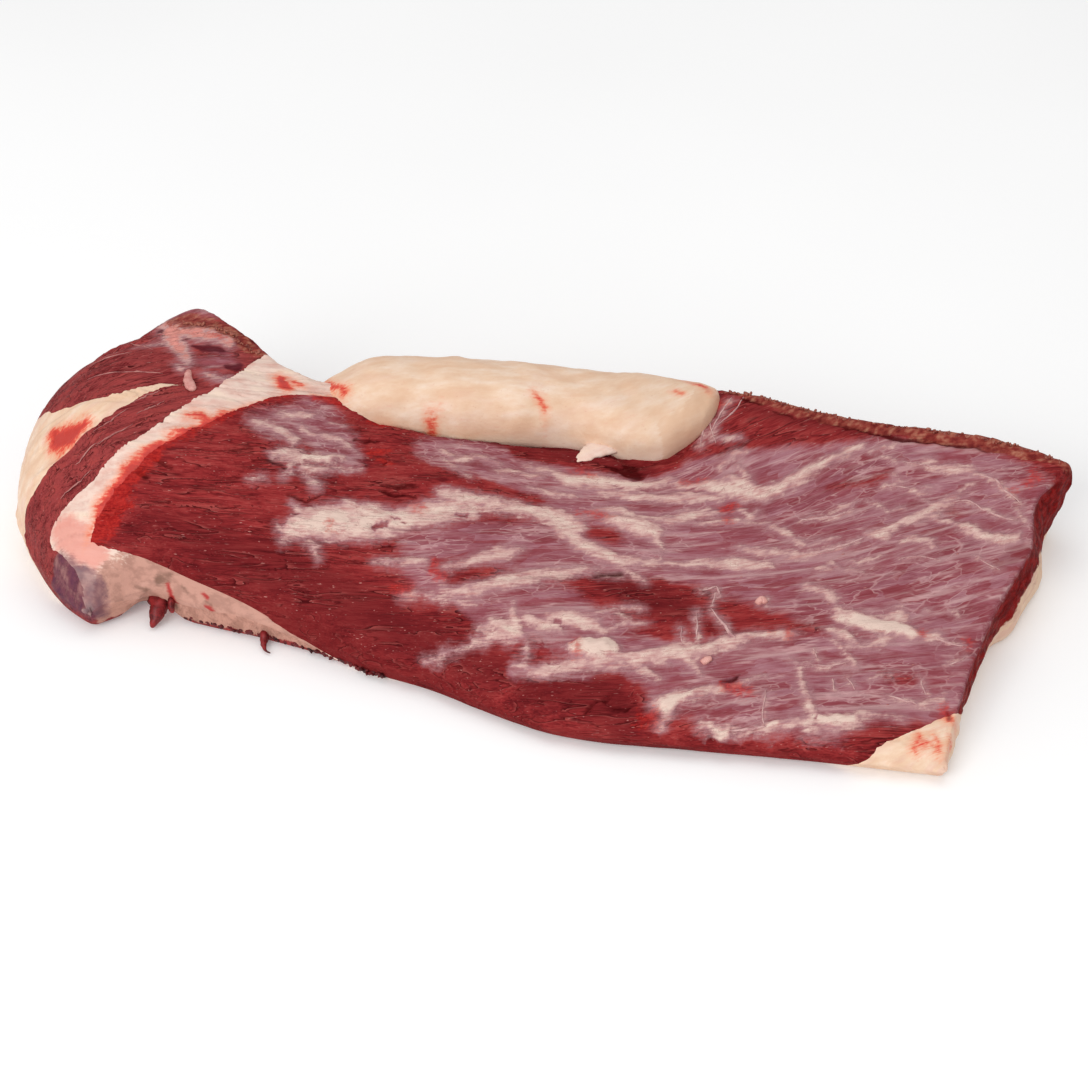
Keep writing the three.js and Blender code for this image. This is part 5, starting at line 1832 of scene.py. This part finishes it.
class BrisketColours(bpy.types.PropertyGroup):
    """Colours of the meat and the floor"""
    lean: colour_of("Lean", "Bare lean meat", LEAN_RED)
    skin: colour_of("Silver skin", "The mauve skin over the lean", SKIN_MAUVE)
    fat: colour_of("Fat on the lean", "Thick fat on the lean side", FAT_WARM)
    seam: colour_of("Seam fat", "The fat between flat and point", SEAM_CREAM)
    hard_fat: colour_of("Hard fat and cap", "The lump of hard fat and the cap", CREAM)
    floor: colour_of("Floor", "The pale floor", linear(243, 243, 243))


HELPERS = ("envelope", "under_flat", "under_seam", "under_all", "fold", "low", "lower", "wedge", "hard_fat")
# The sheets' columns, closest where the layers turn up: shares along the meat, and how many steps.
SHEET_STEPS = ((-SHEET_OVERHANG, 0, 2), (0, 0.34, 109), (0.34, 0.92, 25), (0.92, 1 + SHEET_OVERHANG, 25))
FIELDS = ("fibre", "strewn", "grain", "fat", "skin", "blood", "dark", "deep", "crust", "wall", "tan", "mauve")
SHARP_ANGLE = math.radians(62)
CAMERA_TARGET = (0, -10, 25)
CAMERA_DISTANCE = 1250
CAMERA_AZIMUTH = math.radians(15)
CAMERA_ELEVATION = math.radians(37)
PICTURE_WIDTH = 1088
# How much of the plan one pixel of the picture covers at the target.
PIXEL_SIZE = 0.49
SENSOR_WIDTH = 36
# Each light: its name, place, side and power.
LIGHTS = (("key_light", (-0.5, -1.7, 1.1), 1.2, 20), ("top_light", (0, 0.2, 1.8), 1.5, 8))
FLOOR_GLOW = 0.14
SKY_STRENGTH = 0.6


def clear_helpers(*kept):
    """Removes the shapes that only served to cut others."""
    for spare in list(bpy.data.objects):
        if spare.name in HELPERS and spare.name not in kept:
            bpy.data.objects.remove(spare)


class BRISKET_OT_layers(bpy.types.Operator):
    """Cuts the slab of meat into flat, seam fat, point and fat cap"""
    bl_idname = "brisket.layers"
    bl_label = "Flat, seam, point and cap"

    def execute(self, context):
        colours = context.scene.brisket_colours
        whole = envelope()
        runs = [np.linspace(first, last, count + 1)[:-1] for first, last, count in SHEET_STEPS]
        steps = np.append(np.concatenate(runs), SHEET_STEPS[-1][1])
        under_flat = block_below("under_flat", seam_top, steps)
        under_seam = block_below("under_seam", point_top, steps)
        under_all = block_below("under_all", cap_top, steps)
        fold = fold_block()
        flat = combined("flat_muscle_dressed", whole, ("DIFFERENCE", under_flat))
        low = combined("low", whole, ("INTERSECT", under_flat))
        seam = combined("seam_fat_dressed", low, ("DIFFERENCE", under_seam), ("DIFFERENCE", under_all))
        lower = combined("lower", low, ("INTERSECT", under_seam))
        point = combined("point_muscle_dressed", lower, ("DIFFERENCE", under_all), ("DIFFERENCE", fold))
        wedge = combined("wedge", lower, ("INTERSECT", fold))
        cap = combined("fat_cap_dressed", low, ("INTERSECT", under_all), ("UNION", wedge))
        for piece in (flat, seam, point, cap):
            keep_largest(piece)
        dress(flat, flat_across, flat_fields)
        strew(flat)
        dress(seam, flat_across, seam_fields)
        dress(point, point_across, point_fields)
        dress(cap, seam_across, cap_fields)
        lean, skin, fat = colours.lean[:], colours.skin[:], colours.fat[:]
        flat_lean = lean_finish("flat_lean", lean, skin, fat, tan=(CREAM, SEAM_ROSE))
        point_lean = lean_finish("point_lean", POINT_LEAN, skin, POINT_FAT, POINT_SOFT, MAROON)
        settle(flat, flat_lean, "flat_muscle")
        settle(seam, fat_finish("seam_fat_soft", colours.seam[:], SEAM_ROSE, CREAM_LIGHT, 0.6), "seam_fat")
        settle(point, point_lean, "point_muscle")
        settle(cap, fat_finish("cap_fat", colours.hard_fat[:]), "fat_cap")
        clear_helpers("envelope")
        return {"FINISHED"}


class BRISKET_OT_hard_fat(bpy.types.Operator):
    """Shapes the long lump of hard fat and seats it on the far edge"""
    bl_idname = "brisket.hard_fat"
    bl_label = "Hard fat"

    def execute(self, context):
        if "envelope" not in bpy.data.objects:
            raise RuntimeError("The flat, seam, point and cap come first")
        lump = combined("deckle_fat_dressed", hard_fat(), ("DIFFERENCE", bpy.data.objects["envelope"]))
        keep_largest(lump)
        dress(lump, flat_across, lump_fields)
        base = context.scene.brisket_colours.hard_fat[:]
        tan = (HARD_TAN, CREAM_WARM)
        finish = fat_finish("hard_fat_finish", base, CREAM_WARM, CREAM_LIGHT, 0.15, tan, 0.6)
        settle(lump, finish, "deckle_fat")
        clear_helpers()
        tongue = outward(lobe("hard_fat_tongue", TONGUE))
        dress(tongue, flat_across, lump_fields)
        trim(tongue, fat_finish("tongue_fat", TONGUE_FAT, SEAM_ROSE, CREAM_LIGHT, 0.4))
        return {"FINISHED"}


class BRISKET_OT_threads(bpy.types.Operator):
    """Lays threads of sinew and thin fat over the flat and the point"""
    bl_idname = "brisket.threads"
    bl_label = "Threads"

    def execute(self, context):
        thickness = context.scene.brisket_sizes.thread_thickness
        for name, lines, slot, tones in (("threads_on_flat", THREADS, "flat_muscle", SINEW),
                                         ("threads_on_point", BAND_THREADS, "point_muscle", BAND_SINEW)):
            finish = strand_finish(name + "_finish", *tones)
            curve = threads_on_lean(name, lines, THREAD_SINK)
            piece = made_by(thread_rule(finish), name, curve, finish, Thickness=thickness)
            trim(outward(piece), finish)
        return {"FINISHED"}


class BRISKET_OT_flecks(bpy.types.Operator):
    """Strews flecks of fat over the bare lean of the flat"""
    bl_idname = "brisket.flecks"
    bl_label = "Flecks of fat"

    def execute(self, context):
        sizes = context.scene.brisket_sizes
        finish = strand_finish("fleck_finish", *FLECK_FAT)
        piece = made_by(fleck_rule(finish), "flecks", bpy.data.objects["flat_muscle_dressed"].data, finish,
                        Density=sizes.fleck_density, Length=sizes.fleck_length, Width=sizes.fleck_width)
        for spare in list(piece.data.attributes):
            if spare.name in FIELDS:
                piece.data.attributes.remove(spare)
        trim(piece, finish)
        return {"FINISHED"}


class BRISKET_OT_scraps(bpy.types.Operator):
    """Lays ragged scraps below the near edge, and dried crumbs on the far rim and the knuckle"""
    bl_idname = "brisket.scraps"
    bl_label = "Scraps and crumbs"

    def execute(self, context):
        sizes = context.scene.brisket_sizes
        # The scraps are dark torn meat, darkened to also stand for the shadow line under the near wall.
        torn = strand_finish("scrap_finish", *SCRAP_AND_SHADE)
        dried = strand_finish("crumb_finish", *CRUMB)
        piece = made_by(scrap_rule(torn), "scraps", path_curve("scraps", SCRAP_PATH), torn,
                        Spacing=0.0008, Size=sizes.scrap_size, Scatter=0.0010, Ruggedness=0.0006)
        trim(piece, torn)
        for name, path, slot in (("crumbs_far", RIM_PATH, "flat_muscle"),
                                 ("crumbs_knuckle", KNUCKLE_PATH, "point_muscle")):
            line = np.array(path, float)
            line = np.column_stack([line, surface_at(*line.T) - CRUMB_SINK])
            piece = made_by(scrap_rule(dried), name, path_curve(name, line), dried,
                            Spacing=0.0007, Size=sizes.crumb_size, Scatter=0.0012, Ruggedness=0.0003)
            trim(piece, dried)
        return {"FINISHED"}


class BRISKET_OT_tags(bpy.types.Operator):
    """Hangs the torn tags below the near edge, and sets the nubs and the drip of sinew"""
    bl_idname = "brisket.tags"
    bl_label = "Tags, nubs and drip"

    def execute(self, context):
        # The tags are dark torn meat, darkened to also stand for the shadowy gap beside them.
        torn = strand_finish("tag_finish", *TAG_AND_SHADE)
        pale = strand_finish("nub_finish", *NUB)
        tags = joined("tags", [lobe(f"tag_{n}", spine, 0.5) for n, spine in enumerate(TAGS)])
        trim(outward(tags), torn)
        nubs = joined("nubs", [lobe(f"nub_{n}", on_lean(spine)) for n, spine in enumerate(NUBS)])
        trim(outward(nubs), pale)
        trim(outward(lobe("sinew_drip", DRIP)), pale)
        return {"FINISHED"}


class BRISKET_OT_stage(bpy.types.Operator):
    """Lays the pale floor and sets the lights and the camera"""
    bl_idname = "brisket.stage"
    bl_label = "Floor, light and camera"

    def execute(self, context):
        scene = context.scene
        bpy.ops.mesh.primitive_plane_add(size=12, location=(0, 0, -0.0005))
        floor = context.object
        floor.name = "floor"
        made = Finish("pale_floor", grained=False)
        coordinates = made.node("ShaderNodeTexCoord", out=3)
        drift = made.noise(coordinates, 2.0, 2)
        base = scene.brisket_colours.floor[:]
        shade = made.ramp(drift, (0.3, (*(0.96 * c for c in base[:3]), 1)), (0.7, base))
        floor.data.materials.append(made.surface(shade, made.between(drift, 0.3, 0.7, 0.7, 0.8)))
        made.shader.inputs["Emission Color"].default_value = (1, 1, 1, 1)
        made.shader.inputs["Emission Strength"].default_value = FLOOR_GLOW
        target = Vector((np.array(CAMERA_TARGET) + [*PLAN_SHIFT, 0]) * MM)
        level = math.cos(CAMERA_ELEVATION)
        back = Vector((math.sin(CAMERA_AZIMUTH) * level, -math.cos(CAMERA_AZIMUTH) * level,
                       math.sin(CAMERA_ELEVATION)))
        camera_data = bpy.data.cameras.new("camera")
        camera_data.sensor_width = SENSOR_WIDTH
        camera_data.lens = CAMERA_DISTANCE / PIXEL_SIZE / PICTURE_WIDTH * SENSOR_WIDTH
        camera = bpy.data.objects.new("camera", camera_data)
        camera.location = target + back * (CAMERA_DISTANCE * MM)
        camera.rotation_euler = (-back).to_track_quat("-Z", "Y").to_euler()
        scene.collection.objects.link(camera)
        scene.camera = camera
        for name, place, size, power in LIGHTS:
            light_data = bpy.data.lights.new(name, "AREA")
            light_data.size = size
            light_data.energy = power
            light = bpy.data.objects.new(name, light_data)
            light.location = place
            light.rotation_euler = (-Vector(place)).to_track_quat("-Z", "Y").to_euler()
            scene.collection.objects.link(light)
        scene.view_settings.view_transform = "Standard"
        world = bpy.data.worlds.new("studio") if scene.world is None else scene.world
        scene.world = world
        world.use_nodes = True
        background = world.node_tree.nodes["Background"]
        background.inputs["Color"].default_value = (1, 1, 1, 1)
        background.inputs["Strength"].default_value = SKY_STRENGTH
        return {"FINISHED"}


class BRISKET_PT_panel(bpy.types.Panel):
    """Lists the steps that build the brisket"""
    bl_idname = "BRISKET_PT_panel"
    bl_label = "Raw whole brisket"
    bl_space_type = "VIEW_3D"
    bl_region_type = "UI"
    bl_category = "Brisket"

    def draw(self, context):
        for step in STEPS:
            self.layout.operator(step.bl_idname)
        for group in (context.scene.brisket_sizes, context.scene.brisket_colours):
            box = self.layout.box()
            for name in group.__annotations__:
                box.prop(group, name)


STEPS = (BRISKET_OT_layers, BRISKET_OT_hard_fat, BRISKET_OT_threads, BRISKET_OT_flecks, BRISKET_OT_scraps,
         BRISKET_OT_tags, BRISKET_OT_stage)
CLASSES = (BrisketSizes, BrisketColours) + STEPS + (BRISKET_PT_panel,)


def register():
    for cls in CLASSES:
        bpy.utils.register_class(cls)
    bpy.types.Scene.brisket_sizes = bpy.props.PointerProperty(type=BrisketSizes)
    bpy.types.Scene.brisket_colours = bpy.props.PointerProperty(type=BrisketColours)


def unregister():
    del bpy.types.Scene.brisket_colours
    del bpy.types.Scene.brisket_sizes
    for cls in reversed(CLASSES):
        bpy.utils.unregister_class(cls)


def main():
    """Builds every piece and the stage in order."""
    register()
    bpy.ops.brisket.layers()
    bpy.ops.brisket.hard_fat()
    bpy.ops.brisket.threads()
    bpy.ops.brisket.flecks()
    bpy.ops.brisket.scraps()
    bpy.ops.brisket.tags()
    bpy.ops.brisket.stage()


if __name__ == "__main__":
    main()
